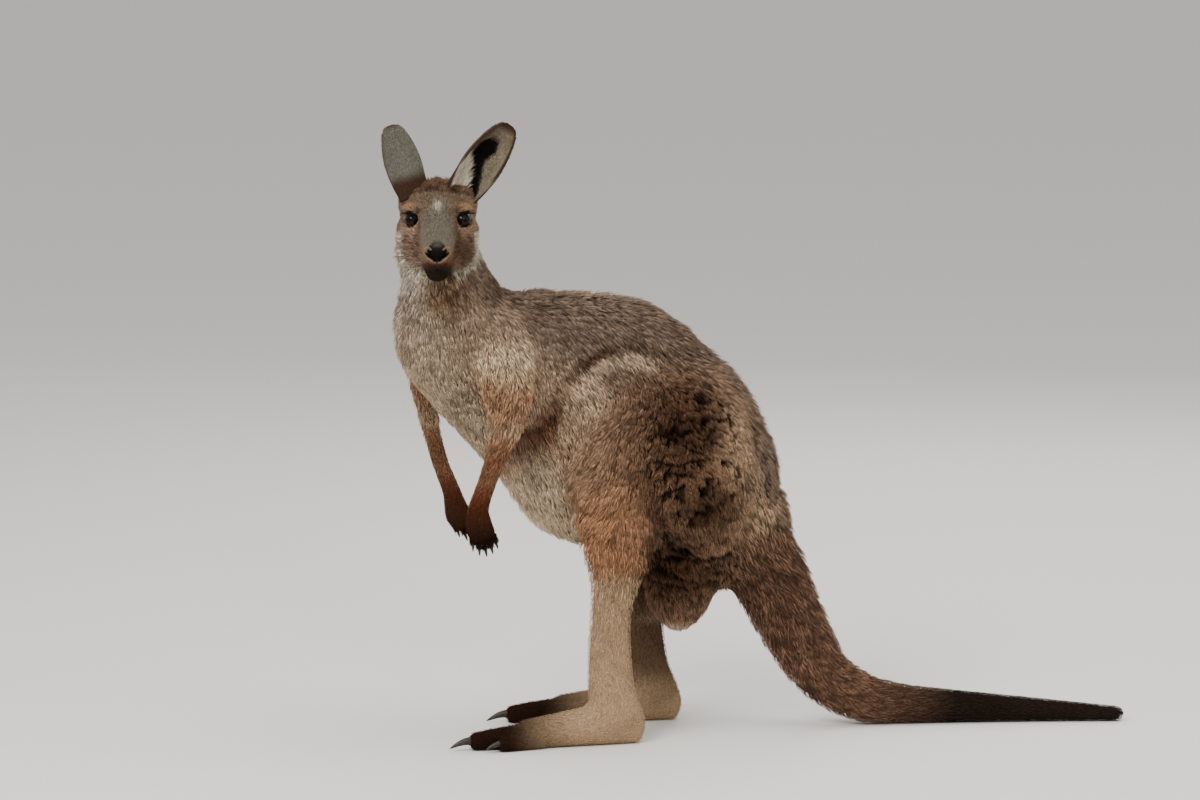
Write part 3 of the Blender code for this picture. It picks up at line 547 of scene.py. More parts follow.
def mottle(p, size, salt=0):
    """Soft noise from -1 to 1: chances at the corners of cells of that size, blended smoothly."""
    q = p / size
    base = np.floor(q)
    f = q - base
    f = f * f * (3 - 2 * f)
    out = np.zeros(len(p))
    for corner in np.ndindex(2, 2, 2):
        out += np.abs(1 - np.array(corner) - f).prod(1) * chance(base + corner, salt)
    return 2 * out - 1


def locks(p, size):
    """The nearest of a set of scattered points, one in each cell of that size, and its chance."""
    base = np.floor(p / size)
    best, found, luck = np.full(len(p), 1e9), np.zeros_like(p), np.zeros(len(p))
    for offset in np.ndindex(3, 3, 3):
        cell = base + offset - 1
        point = (cell + np.stack([chance(cell, i) for i in (1, 2, 3)], 1)) * size
        away = ((point - p)**2).sum(1)
        m = away < best
        best[m], found[m], luck[m] = away[m], point[m], chance(cell[m], 4)
    return found, luck


def mix(a, b, share):
    """Colour a, with that share of it turned into colour b."""
    share = np.clip(np.asarray(share, float), 0, 1)[..., None]
    return np.asarray(a, float) * (1 - share) + np.asarray(b, float) * share


def paint(c, *layers):
    """Colour c with layers of (colour, share) painted over it, one after another."""
    for colour, share in layers:
        c = mix(c, colour, share)
    return c


def ramp(x, *stops):
    """A colour for each x, between stops of (x, colour)."""
    at = [stop[0] for stop in stops]
    return np.stack([np.interp(x, at, [stop[1][i] for stop in stops]) for i in range(3)], 1)


def spot(q, middle, reach, power=3.0):
    """A soft patch: exp(-r^power), where r is the distance from the middle in reaches."""
    r = np.sqrt((((q - np.array(middle)) / np.array(reach))**2).sum(1))
    return np.exp(-r**power)


def line_gap(q, points):
    """Distance of q from a smooth line through the points."""
    path = smooth(points, 6)
    best = np.full(len(q), 1.0)
    for a, b in zip(path, path[1:]):
        f = np.clip((q - a) @ (b - a) / ((b - a) @ (b - a)), 0, 1)[:, None]
        best = np.minimum(best, np.linalg.norm(q - a - f * (b - a), axis=1))
    return best


def line(q, points, outer, inner):
    """A soft line through the points: 1 within inner of it, and 0 past outer."""
    return step(outer, inner, line_gap(q, points))


# ---------------------------------------------------------------- markings, with painted light and shade
# Painted shade, with some red fur, in the creases behind the arm and in front of the thigh.
FLANK_FOLD_SHADES = (   # the dark creases behind the arm: share, how soft, and (y, z) along each
    (0.80, (0.038, 0.004), ((-0.095, 0.520), (-0.135, 0.478), (-0.180, 0.450))),
    (0.60, (0.022, 0.003), ((-0.160, 0.620), (-0.158, 0.560), (-0.170, 0.480))),
    (0.45, (0.020, 0.003), ((-0.098, 0.520), (-0.075, 0.565), (-0.030, 0.596))),
)


def trunk_colour(p, s, shape):
    """Grey-brown along the back, paler down the flank, cream along the belly and the throat, with
    painted shade in the creases behind the arm.
    """
    if isinstance(shape, Lump):
        return np.tile(BROWN, (len(p), 1))
    plain = unit(np.cross(shape.at(s, shape.along), ACROSS))
    up = dot(unit(p - shape.at(s, shape.middle)), plain)
    rear = ramp(up, (-0.95, PALE_BUFF), (-0.78, CREAM), (-0.50, LIGHT_BROWN), (-0.1, FLANK),
                (0.35, FLANK), (0.65, GREY_BROWN))
    chest = ramp(up, (-0.7, CREAM), (-0.15, CHEST_GREY), (0.25, FLANK), (0.45, FLANK),
                 (0.75, GREY_BROWN))
    neck = ramp(up, (-0.75, THROAT_PALE), (-0.35, CHEST_GREY), (0.05, FLANK), (0.45, GREY_BROWN))
    c = mix(mix(rear, chest, step(0.42, 0.58, s)), neck, step(0.70, 0.85, s))
    outer = step(0.02, 0.05, np.abs(p[:, 0]))
    # Painted shade, with some red fur, along the creases behind the arm.
    return paint(c, *[(RED_FUR_IN_PAINTED_SHADE, share * outer * line(p[:, 1:], path, *soft))
                      for share, soft, path in FLANK_FOLD_SHADES])


def throat_colour(p, s, shape):
    """One pale grey."""
    return np.tile(THROAT_PALE, (len(p), 1))


def tail_colour(p, s, shape):
    """Brown, a little darker near the root, then black from two thirds on."""
    brown = np.array(TAIL_BROWN)
    return ramp(s, (0.0, BROWN), (0.12, 0.75 * brown), (0.2, 0.85 * brown), (0.3, brown),
                (0.52, brown), (0.70, TAIL_BLACK), (1.0, TAIL_BLACK))


def thigh_colour(p, s, shape):
    """Buff at the front edge, brown over the muscle, lighter again behind."""
    return ramp(thigh_y(p, shape.zone), (-0.10, BUFF), (-0.075, LIGHT_BROWN), (-0.02, BROWN),
                (0.10, BROWN), (0.17, LIGHT_BROWN))


def shank_colour(p, s, shape):
    """Rust to the hem of its trousers, then pale grey-buff; painted shade along its back edge, and
    over the whole right one.
    """
    right = shape.zone.endswith("right")
    y, z = p[:, 1], p[:, 2]
    upper = mix(RUST, BROWN, step(0.005, 0.045, y - (RIGHT_KNEE_BACK if right else 0)))
    # Painted shade in the groove along the shank's back edge.
    groove = step(0.004, 0.014, y - np.interp(z, (0.05, 0.27), (0.040, 0.020)))
    groove = groove * step(0.05, 0.09, z)
    # The last layer is painted shade over the whole right shank.
    return paint(upper, (BUFF, step(0.276, 0.250, z + 0.006 * mottle(p, 0.008, 3))),
                 (DARK_BROWN, 0.55 * groove), (DARK_BROWN, 0.56 if right else 0))


def foot_colour(p, s, shape):
    """Buff, and dark from the middle of the foot to the toes."""
    back = RIGHT_FOOT_BACK if shape.zone.endswith("right") else 0
    return mix(BUFF, PAW, step(-0.06, -0.19, p[:, 1] - back))


def arm_colour(p, s, shape):
    """Pale buff at the shoulder, orange-buff down the upper arm, rust, then a dark hand; the right
    arm is darkened by painted shade.
    """
    z = p[:, 2]
    c = ramp(z, (0.318, PAW), (0.338, (0.034, 0.013, 0.007)), (0.362, (0.068, 0.024, 0.011)),
             (0.380, (0.105, 0.032, 0.015)), (0.396, (0.155, 0.056, 0.028)), (0.415, FOREARM_RUST),
             (0.452, FOREARM_RUST), (0.473, ORANGE_BUFF), (0.490, (0.50, 0.350, 0.218)),
             (0.515, PINK_BUFF), (0.545, PINK_BUFF), (0.565, BUFF),
             (0.595, PALE_BUFF), (0.645, FLANK))
    patchy = step(-0.2, 0.5, mottle(p, 0.02, 8)) * step(0.60, 0.54, z) * step(0.47, 0.5, z)
    # Painted shade over the whole right arm.
    shaded = 0.25 if shape.zone.endswith("right") else 0
    return paint(c, (ORANGE_BUFF, 0.85 * patchy), (DARK_BROWN, shaded))


def head_colour(p, s, shape):
    """The face's markings, painted one over another in the head's frame, with painted shade in the
    folds under the eyes and over the lower lip and chin.

    u is the distance from the middle line, and v the height as it is seen from in front.
    """
    q = to_head(p)
    side = fold(q)
    y, f = side[:, 1], face_view(side)
    u, v = f.T
    front = step(0.030, 0.010, y)
    grain, patchy = mottle(p, 0.005, 21), mottle(p, 0.009, 22)
    top, top_edge = step(-0.01, 0.02, y), v + 0.004 * patchy + 0.002 * grain
    arc = line_gap(f, ((0.0, 0.0460), (0.012, 0.0440), (0.026, 0.0415), (0.042, 0.0385),
                       (0.056, 0.0350)))
    wide = np.interp(v, (-0.050, -0.036, -0.026, -0.008, 0.006, 0.018, 0.028),
                     (0.018, 0.023, 0.0245, 0.023, 0.018, 0.011, 0.005))
    bridge = step(0.0050, -0.0050, u - wide + 0.002 * grain) * step(0.030, 0.016, v)
    return paint(
        mix(GREY_BROWN, CHEEK_BUFF, step(0.055, 0.02, y)),
        (FOREHEAD, front * step(0.004, 0.014, v)),
        (CROWN_RED, (0.80 + 0.30 * patchy) * step(0.036, 0.049, top_edge) * top),
        (CROWN, (0.62 + 0.45 * patchy) * step(0.0050, 0.0015, arc + 0.0015 * grain) * top),
        (CHEEK_RED, 0.90 * front * spot(f, (0.0375, -0.050), (0.0155, 0.027))
         * (0.75 + 0.25 * patchy)),
        (CHEEK_RED, 0.55 * front * spot(f, (0.028, -0.064), (0.016, 0.010))),
        (FACE_DARK, 0.30 * front * spot(f, (0.030, -0.038), (0.007, 0.022))),
        (BRIDGE_GREY, 0.92 * front * bridge * step(-0.056, -0.042, v)),
        (FACE_DARK, 0.35 * front * spot(f, (0.0255, -0.012), (0.0030, 0.014))),
        (WHITE, 0.75 * front * spot(f, (0.001, 0.0195), (0.0045, 0.0085), 2.0)),
        (BROW_BUFF, 0.92 * front * spot(f, (0.047, 0.0195), (0.014, 0.0065))),
        (FACE_DARK, 0.70 * front * spot(f, (0.0300, 0.0125), (0.0030, 0.0065))),
        (EYE_RING, 0.75 * front * spot(f, (0.0470, -0.0165), (0.010, 0.0050))),
        (EYE_RING, 0.65 * front * line(f, ((0.0290, -0.004), (0.0330, -0.014), (0.0385, -0.024)),
                                       0.0040, 0.0015)),
        # Painted shade along the fold under the eye.
        (FACE_DARK, 0.75 * front * line(f, ((0.0440, -0.0235), (0.0470, -0.0290),
                                            (0.0475, -0.0330)), 0.0022, 0.0008)),
        (WHITE, 0.97 * line(f, CHEEK_LINE, 0.0076, 0.0040) * step(-0.03, -0.01, y)),
        (CHIN_TUFT, 0.85 * spot(q, (0, -0.012, -0.090), (0.026, 0.05, 0.010))),
        *eye_layers(side, v, f), *mouth_layers(side, u, v, grain), *nose_layers(side, u, v, f))


def eye_layers(side, v, f):
    """A pale ring round the eye, its dark lids, and the line of its lashes."""
    away = side - EYE_AT
    high = away @ unit(np.array(EYE_WAY))
    off = np.sqrt(np.maximum((away**2).sum(1) - high**2, 0))
    rim = step(0.002, 0.006, high) * step(0.020, 0.016, high)
    lash = ((0.0310, 0.0030), (0.0350, 0.0085), (0.0420, 0.0116), (0.0500, 0.0098),
            (0.0590, 0.0055))
    return ((EYE_RING, 0.55 * rim * step(0.0150, 0.0132, off) * step(0.0, -0.004, v)),
            (LID_DARK, rim * step(0.0121, 0.0106, off - 0.0014 * step(0.0, 0.006, v))),
            (LID_DARK, 0.97 * step(0.045, 0.030, side[:, 1]) * line(f, lash, 0.0027, 0.0011)))


def mouth_layers(side, u, v, grain):
    """The dark lips, with painted shade over the lower lip and the chin, the line of the mouth, and
    the groove up to the nose.
    """
    jaw = np.interp(v, (-0.0955, -0.091, -0.084, -0.077, -0.070, -0.064),
                    (0.0005, 0.0135, 0.0225, 0.0270, 0.0265, 0.022))
    # The darkest stops, under the mouth's line, are the lips' colour with painted shade over the
    # lower lip and chin.
    lips = ramp(v + 0.0015 * grain, (-0.089, LIP_DARK_AND_CHIN_SHADE), (-0.0780, LIP_DARK_AND_CHIN_SHADE),
                (-0.0730, 0.4 * np.array(LIP_BROWN)), (-0.068, LIP_BROWN), (-0.065, CHEEK_RED))
    inside = step(0.003, -0.002, u - jaw) * step(-0.062, -0.069, v) * step(0.030, 0.012, side[:, 1])
    return ((lips, 0.94 * inside),
            (LIP_DARK_AND_CHIN_SHADE, 0.95 * line(side, MOUTH, 0.0038, 0.0018)),
            (LIP_DARK_AND_CHIN_SHADE, 0.8 * line(side, PHILTRUM, 0.0018, 0.0008)))


def nose_layers(side, u, v, f):
    """Pale rims round the nostrils, the hairy pad of the nose, and the black nostrils."""
    nosed = step(-0.072, -0.082, side[:, 1])
    pad = np.interp(v, (-0.0665, -0.060, -0.054, -0.0495, -0.0455, -0.041, -0.0360),
                    (0.0010, 0.0085, 0.0140, 0.0150, 0.0130, 0.0105, 0.0055))
    nostril = line_gap(side, NOSTRIL)
    shade = ramp(v, (-0.0510, NOSE_BLACK), (-0.0455, PAD_BROWN),
                 (-0.0380, 0.42 * np.array(BRIDGE_GREY)))
    on_pad = step(0.0016, -0.0010, u - pad) * step(-0.0685, -0.0665, v) * step(-0.032, -0.038, v)
    wing = ((0.0095, -0.0475), (0.0135, -0.0445), (0.0185, -0.0450))
    return ((CHEEK_BUFF, 0.75 * nosed * step(0.0064, 0.0046, nostril) * step(-0.046, -0.050, v)),
            (shade, nosed * on_pad),
            (EYE_RING, 0.75 * nosed * line(f, wing, 0.0017, 0.0008)),
            (NOSE_BLACK, step(0.0044, 0.0026, nostril)))


ZONE_COLOURS = {"throat": throat_colour, "trunk": trunk_colour, "tail": tail_colour,
                "thigh": thigh_colour, "shank": shank_colour, "foot": foot_colour,
                "arm": arm_colour, "head": head_colour}
# Lines on the flank, as (y, z): the thigh's edge, lit by a painted highlight; the crease over it and
# its front seam, both darkened by painted shade.
LIT_THIGH_EDGE = ((-0.095, 0.473), (-0.081, 0.535), (-0.042, 0.571), (-0.002, 0.584), (0.046, 0.577))
CREASE_SHADE = ((-0.062, 0.582), (-0.030, 0.599), (0.005, 0.606), (0.050, 0.596), (0.095, 0.588))
SEAM_SHADE = ((0.005, 0.425), (0.045, 0.350), (0.085, 0.285))


def body_marks(p, c):
    """Patches that cross from one part to the next, with painted shade in the groin, along the
    thigh's seam and in the crease over the thigh, and a painted highlight along the thigh's edge.
    """
    side, q = fold(p), to_head(p)
    flank = side[:, 1:]
    outer = step(0.05, 0.08, side[:, 0])
    highlight_top = spot(flank, (-0.005, 0.580), (0.075, 0.030))
    stripe = line(face_view(fold(q)), CHEEK_LINE, 0.0085, 0.0045)
    stripe = stripe * step(-0.03, -0.01, q[:, 1]) * step(0.080, 0.055, q[:, 1])
    return paint(
        c,
        (DARK_BROWN, 0.95 * spot(side, (0.11, 0.084, 0.490), (0.08, 0.080, 0.072))),
        (DARK_BROWN, 0.88 * spot(side, (0.10, 0.128, 0.366), (0.08, 0.070, 0.052))),
        (DARK_BROWN, 0.40 * spot(side, (0.10, 0.085, 0.430), (0.08, 0.080, 0.120), 4.0)),
        (DARK_BROWN, 0.50 * spot(side, (0.11, 0.048, 0.408), (0.08, 0.042, 0.058))),
        # Painted shade along the thigh's seam.
        (DARK_BROWN, 0.45 * line(flank, SEAM_SHADE, 0.022, 0.006)),
        # Painted shade in the groin, under the body between the thighs.
        (DARK_BROWN, 0.97 * spot(side, (0.05, 0.085, 0.262), (0.09, 0.088, 0.062))),
        (BUFF, 0.40 * spot(side, (0.09, 0.215, 0.335), (0.08, 0.035, 0.030))),
        (BUFF, 0.40 * spot(side, (0.10, 0.172, 0.445), (0.08, 0.032, 0.060))),
        (GREY_BROWN, 0.80 * spot(flank, (-0.350, 0.650), (0.040, 0.050))
         * step(-0.5, 0.3, mottle(p, 0.014, 23))),
        (NECK_DARK, 0.40 * spot(flank, (-0.130, 0.690), (0.055, 0.035))),
        # A painted highlight on the thigh's edge by the flank.
        (PALE_BUFF, 0.40 * spot(flank, (-0.060, 0.532), (0.038, 0.030)) * outer),
        (LIGHT_BROWN, 0.60 * spot(flank, (-0.168, 0.432), (0.030, 0.028))),
        (PALE_BUFF, 0.85 * spot(side, (0.02, 0.100, 0.163), (0.06, 0.045, 0.012))
         * step(0.215, 0.165, p[:, 2])),
        (RUST, 0.8 * spot(side, (0.13, -0.040, 0.335), (0.06, 0.036, 0.050))),
        # A painted highlight along the thigh's edge, strongest at its top, then painted shade in the
        # crease over it.
        (PALE_BUFF, (0.25 + 0.34 * highlight_top) * line(flank, LIT_THIGH_EDGE, 0.016, 0.005) * outer),
        (DARK_BROWN, 0.55 * line(flank, CREASE_SHADE, 0.0085, 0.002) * outer),
        (CHIN_TUFT, 0.75 * spot(q, (0.006, -0.010, -0.118), (0.034, 0.045, 0.026))),
        (NECK_DARK, 0.55 * spot(q, (0.078, 0.055, -0.112), (0.030, 0.05, 0.040))),
        (WHITE, 0.92 * stripe),
        (NECK_DARK, 0.90 * spot(p, (0.12, -0.270, 0.710), (0.06, 0.030, 0.055))
         * step(-0.5, 0.3, mottle(p, 0.008, 9))))


def shag(p):
    """How woolly the coat is, from 0 to 1: most over the thigh, then the rump and the back."""
    side = fold(p)
    thigh = spot(side, (0.11, 0.105, 0.445), (0.11, 0.100, 0.130), 5.0)
    low = spot(side, (0.06, 0.110, 0.275), (0.11, 0.095, 0.070), 4.0)
    back = 0.72 * spot(side, (0.05, -0.065, 0.700), (0.12, 0.100, 0.050))
    tail = 0.45 * step(0.16, 0.22, p[:, 1])
    return np.maximum.reduce([thigh, low, back, tail, 0.24 - 0.14 * step(0.55, 0.65, p[:, 2])])


def crests(p, row):
    """Wavy rows one above another, with breaks: 1 on a row's crest and 0 in the gap under it."""
    phase = p[:, 2] / row + 1.0 * mottle(p, 2.4 * row, 31) + 0.75 * mottle(p, 0.9 * row, 32)
    wave = 0.5 + 0.5 * np.sin(2 * math.pi * phase)
    return step(0.16, 0.92, wave + 0.75 * mottle(p * (1, 1, 1.6), 1.3 * row, 33))


# ---------------------------------------------------------------- meshes
def mesh_of(name, points, faces):
    """A new object from vertices and faces, linked into the scene."""
    mesh = bpy.data.meshes.new(name)
    mesh.from_pydata(np.asarray(points).tolist(), [], faces)
    mesh.update()
    return linked(name, mesh)


def linked(name, data):
    """A new object for the data, linked into the scene."""
    thing = bpy.data.objects.new(name, data)
    bpy.context.scene.collection.objects.link(thing)
    return thing


def placed(shell):
    """Vertices and faces, with the vertices moved from the body's frame to the model's."""
    points, faces = shell
    return points + PLACE, faces


def points_of(mesh, name="co"):
    """The mesh's vertices, or their normals, as rows."""
    out = np.empty(len(mesh.vertices) * 3)
    mesh.vertices.foreach_get(name, out)
    return out.reshape(-1, 3)


def settle(piece):
    """Put the result of the piece's modifiers into its mesh."""
    graph = bpy.context.evaluated_depsgraph_get()
    done = bpy.data.meshes.new_from_object(piece.evaluated_get(graph))
    piece.modifiers.clear()
    piece.data = done


def join(parts):
    """Vertices and faces of several shells as one list."""
    points, faces, start = [], [], 0
    for p, f in parts:
        points.append(p)
        faces += [[i + start for i in face] for face in f]
        start += len(p)
    return np.vstack(points), faces


def eye_frame(side):
    """Middle and axis of an eye in the body's frame."""
    middle = from_head(np.array(EYE_AT) * (side, 1, 1))
    way = unit(np.array(EYE_WAY)) * (side, 1, 1)
    return middle, way @ TURN.T


def skin_field(p):
    """The skin's distance: the melted body less the coat, with the face's features worked in."""
    found = survey(p)
    d = found["d"] + found["depth"]
    q = to_head(p)
    near = (np.abs(q) < (0.07, 0.12, 0.09)).all(1)
    if near.any():
        d[near] = face_field(p[near], q[near], d[near])
    return np.maximum(d, 4 * FLOOR_GAP - p[:, 2])


# Cuts in the face: how deep, where they start and end beside their line, and the line.
CUTS = ((0.0042, (0.0032, 0.0012), NOSTRIL), (0.0022, (0.0026, 0.0006), MOUTH),
        (0.0014, (0.0016, 0.0003), PHILTRUM),
        (0.0012, (0.0040, 0.0005), ((0.045, -0.004, -0.023), (0.048, 0.002, -0.032))))


def face_field(p, q, d):
    """Sockets, lids, nostrils, mouth and folds under the eyes, worked into the face's distance."""
    for side in (1, -1):
        middle, way = eye_frame(side)
        away = p - middle
        r = np.linalg.norm(away, axis=1)
        high = away @ way
        off = np.sqrt(np.maximum(r * r - high * high, 0))
        ring = math.sin(math.radians(LID_OPEN)) * (EYE_RADIUS + 0.0006)
        lift = math.cos(math.radians(LID_OPEN)) * (EYE_RADIUS + 0.0006)
        upper = step(-0.2, 0.8, (away @ TURN[:, 2]) / np.maximum(r, 1e-6))
        lid = np.hypot(off - ring, high - lift) - (LID_THICK + LID_UPPER * upper)
        d = melt_in(d, lid, 0.0035)
        d = -melt_in(-d, r - (EYE_RADIUS + 0.0002), 0.0006)
    for deep, soft, path in CUTS:
        d = d + deep * line(fold(q), path, *soft)
    return d


@contextmanager
def edited(mesh):
    """The mesh as a bmesh, written back at the end."""
    bm = bmesh.new()
    bm.from_mesh(mesh)
    yield bm
    bm.to_mesh(mesh)
    bm.free()


def draw_onto(mesh, rounds, most=DRAW_STEP):
    """Each round evens the mesh out and moves each point along its normal by its distance."""
    for _ in range(rounds):
        with edited(mesh) as bm:
            bmesh.ops.smooth_vert(bm, verts=bm.verts, factor=0.5,
                                  use_axis_x=True, use_axis_y=True, use_axis_z=True)
        p, n = points_of(mesh), points_of(mesh, "normal")
        p = p - np.clip(skin_field(p), -most, most)[:, None] * n
        mesh.vertices.foreach_set("co", np.ascontiguousarray(p).ravel())
        mesh.update()


def finer(mesh, inside):
    """Cut the faces whose points all pass the test in four."""
    keep = inside(points_of(mesh))
    with edited(mesh) as bm:
        edges = [e for e in bm.edges if keep[e.verts[0].index] and keep[e.verts[1].index]]
        bmesh.ops.subdivide_edges(bm, edges=edges, cuts=1, use_grid_fill=True)


def in_head(p):
    """From the nose to the ears' roots."""
    u, y, z = fold(to_head(p)).T
    return (y < 0.045) & (y > -0.15) & (u < 0.075) & (z > -0.092) & (z < 0.06)


def in_face(p):
    """Near the eyes, the nose and the mouth."""
    side = fold(to_head(p))
    eye = np.linalg.norm(side - EYE_AT, axis=1) < 0.024
    return in_head(p) & (eye | ((side[:, 1] < -0.052) & (side[:, 2] > -0.085)))


def make_skin():
    """The body in one piece, drawn onto the skin's distance, finer over the head and face."""
    made = mesh_of("coat_roots", *join([shape.loft() for shape in SHAPES]))
    for rounds in (7, 3):
        grid = made.modifiers.new("join", "REMESH")
        grid.mode, grid.voxel_size = "VOXEL", VOXEL
        settle(made)
        draw_onto(made.data, rounds)
    largest_only(made.data)
    for inside, most in ((in_head, 0.0015), (in_face, 0.0010)):
        finer(made.data, inside)
        draw_onto(made.data, 2, most)
    return made


def largest_only(mesh):
    """Remove the closed bubbles that the tubes leave inside the body."""
    with edited(mesh) as bm:
        left, bodies = set(bm.verts), []
        while left:
            one, edge = set(), [left.pop()]
            while edge:
                point = edge.pop()
                one.add(point)
                near = {e.other_vert(point) for e in point.link_edges} & left
                left -= near
                edge.extend(near)
            bodies.append(one)
        bodies.sort(key=len)
        for bubble in bodies[:-1]:
            bmesh.ops.delete(bm, geom=list(bubble), context="VERTS")


def add_colour(mesh, colour):
    """The markings, and the painted light and shade laid over them, as a colour at each vertex."""
    layer = mesh.color_attributes.new("markings", "FLOAT_COLOR", "POINT")
    whole = np.column_stack([colour, np.ones(len(colour))])
    layer.data.foreach_set("color", whole.astype(np.float32).ravel())


# ---------------------------------------------------------------- ears, claws, fingers and eyes
def ear_sheet(word, along, across):
    """A point of the ear's middle surface, its normal and its up, for shares along and across.

    The leaf is rolled at its root and opens towards its tip: the width is a profile of the share
    along it, and each cross line is an arc of the roll's angle.
    """
    root, tip, faces, half_width = EARS[word]
    root, tip = from_head(root), from_head(tip)
    up = unit(tip - root)
    front = np.array(faces) @ TURN.T
    front = unit(front - (front @ up) * up)
    aside = np.cross(up, front)
    width = (half_width - EAR_INSET) * ear_profile(along)
    roll = np.radians(np.interp(along, (0, 0.25, 0.6, 1.0), (118, 84, 58, 40)))
    turn = across * roll
    sideways = width * np.sin(turn) / np.maximum(np.sin(np.minimum(roll, math.pi / 2)), 0.1)
    inwards = width * (np.cos(turn) - np.cos(roll)) / np.maximum(1 - np.cos(roll), 0.3) * 0.55
    where = root + along[..., None] * (tip - root)
    where = where + sideways[..., None] * aside - inwards[..., None] * front
    normal = np.cos(turn)[..., None] * front * -1 + np.sin(turn)[..., None] * aside
    return where, unit(normal), up, aside, front


def ear_profile(along):
    """The ear's half width along it, as a share: 1 where it is widest, and round at the tip."""
    rows = ((0, 0.82), (0.15, 0.92), (0.38, 1.04), (0.58, 1.0), (0.78, 0.82), (0.92, 0.56),
            (1.0, 0.20))
    fine = smooth(rows, 8)
    return np.interp(along, fine[:, 0], fine[:, 1])


def ear_half(s):
    """Half the ear's thickness at the share s of its length: thinner towards the tip."""
    return EAR_THICK / 2 * (1.3 - 0.5 * s)


def ear_grid():
    """Shares along the ear and angles round its section, from its sunk root to its tip."""
    return np.meshgrid(np.linspace(-EAR_SUNK, 1.0, EAR_RINGS), circle(EAR_SIDES), indexing="ij")


def ear_shell(word):
    """A closed ear: its outer side, its hollow side and a round rim, on one wrapped grid."""
    s, a = ear_grid()
    where, normal, *_ = ear_sheet(word, s, np.cos(a))
    side = np.sign(np.sin(a)) * np.minimum(1, np.abs(np.sin(a)) * 3) ** 0.5
    return lattice(where + normal * (side * ear_half(s))[..., None])


def ear_colour(word, s, across, hollow):
    """The ear's markings for shares along and across it, on its hollow side or its back."""
    back = ramp(s, (0.0, EAR_BASE), (0.16, EAR_BASE), (0.30, EAR_GREY), (0.9, EAR_GREY),
                (1.0, EAR_RIM))
    back = mix(back, EAR_RIM, 0.6 * step(0.78, 0.98, np.abs(across)))
    inner = -across if word == "left" else across   # 1 at the edge nearer the head's middle
    stops = (0, 0.08, 0.20, 0.33, 0.45, 0.62, 0.74)
    middle = np.interp(s, stops, (-0.45, -0.45, -0.27, -0.02, 0.30, 0.22, 0.15))
    reach = np.interp(s, stops, (0.28, 0.28, 0.28, 0.32, 0.44, 0.60, 0.34))
    white = step(middle + reach - 0.1, middle + reach + 0.1, inner)
    dark = step(reach + 0.06, reach - 0.10, np.abs(inner - middle))
    front = paint(np.tile(EAR_PALE, (len(s), 1)),
                  (FACE_DARK, 0.35 * step(0.62, 0.85, s)),
                  (EAR_BROWN, 0.85 * step(0.45, 0.80, inner) * step(0.30, 0.42, s)),
                  (WHITE, 0.95 * white * step(0.52, 0.36, s)),
                  (EAR_DARK, dark * step(0.80, 0.70, s)),
                  (EAR_RIM, step(0.86, 0.96, np.abs(across)) * step(0.25, 0.4, s)),
                  (EAR_RIM, step(0.88, 0.97, s)))
    return np.where(hollow[:, None], front, back)


def horn(root, tip, radius, rise, across):
    """A claw: rings of a circle along a bent middle line, tapering to a blunt point."""
    root, tip, across = np.array(root, float), np.array(tip, float), np.array(across)
    f = np.linspace(0, 1, 12)[:, None]
    bulge = np.array(rise) * np.linalg.norm(tip - root) * np.sin(math.pi * f)
    middle = root + (tip - root) * f + bulge
    along = unit(np.gradient(middle, axis=0))
    side = unit(across - (along @ across)[:, None] * along)
    thick = radius * (1 - f[:, 0] ** 1.7) ** 0.8 + 0.0002
    return rings_of(middle, side[:, None], np.cross(side, along)[:, None], 0.8, 1.0, thick, 14)


def finger_rows():
    """Each finger's side of the body, number, root, way and length."""
    for word, arm in (("left", ARM_LEFT), ("right", ARM_RIGHT)):
        for i, long in enumerate(FINGER_LONG):
            turn = math.radians(HAND_LEAN[word] + FINGER_FAN * (i - 2))
            way = np.array((0, -math.sin(turn), -math.cos(turn)))
            root = np.array(arm[-1][:3]) + (0, -FINGER_STEP * (i - 2), 0.004)
            yield word, i + 1, root, way, long


def finger_shell(root, way, long):
    """A finger: rings along its bones, fuller at each joint, curled and round at its end."""
    sunk = 0.006
    f = np.linspace(0, 1, 16)
    knuckle = 1 + 0.10 * np.cos(f * 4 * math.pi)
    end = np.sqrt(np.clip(1 - (f - 0.80) ** 2 / 0.042 * (f > 0.80), 0.02, 1))
    curl = np.outer(np.sin(f * math.pi / 2) ** 2, (0.0016, 0, 0))
    middle = root - way * sunk + np.outer(f * (long + sunk), way) - curl
    thick = FINGER_THICK * knuckle * end * (1 - 0.16 * f)
    return rings_of(middle, np.array(ACROSS), np.cross(way, ACROSS), 1.05, 0.92, thick, 14)


def eyeball(word, side, look):
    """An eye: a sphere whose front swells into a clear cornea, on rings round its axis."""
    middle, way = eye_frame(side)
    aside = unit(np.cross(way, TURN[:, 2]))
    up = np.cross(aside, way)
    polar = np.linspace(0.004, math.pi - 0.004, EYE_RINGS)[:, None]
    turn = circle(EYE_SIDES)[None, :]
    r = EYE_RADIUS * (1 + 0.035 * np.exp(-(polar / 0.55) ** 4))
    points = (middle + (r * np.cos(polar) + 0 * turn)[..., None] * way
              + (r * np.sin(polar) * np.cos(turn))[..., None] * aside
              + (r * np.sin(polar) * np.sin(turn))[..., None] * up)
    piece = mesh_of(f"eye_{word}_wet", *placed(lattice(points)))
    off_axis = np.degrees(np.repeat(polar[:, 0], EYE_SIDES))
    oval = off_axis * (1 + 0.35 * np.abs(np.tile(np.sin(turn[0]), EYE_RINGS)))
    iris = ramp(oval, (0, PUPIL), (17, PUPIL), (22, (0.006, 0.003, 0.002)),
                (36, (0.012, 0.006, 0.003)), (42, (0.003, 0.002, 0.002)), (60, PUPIL))
    add_colour(piece.data, iris)
    finish_piece(piece, look)
    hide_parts(f"eye_{word}")


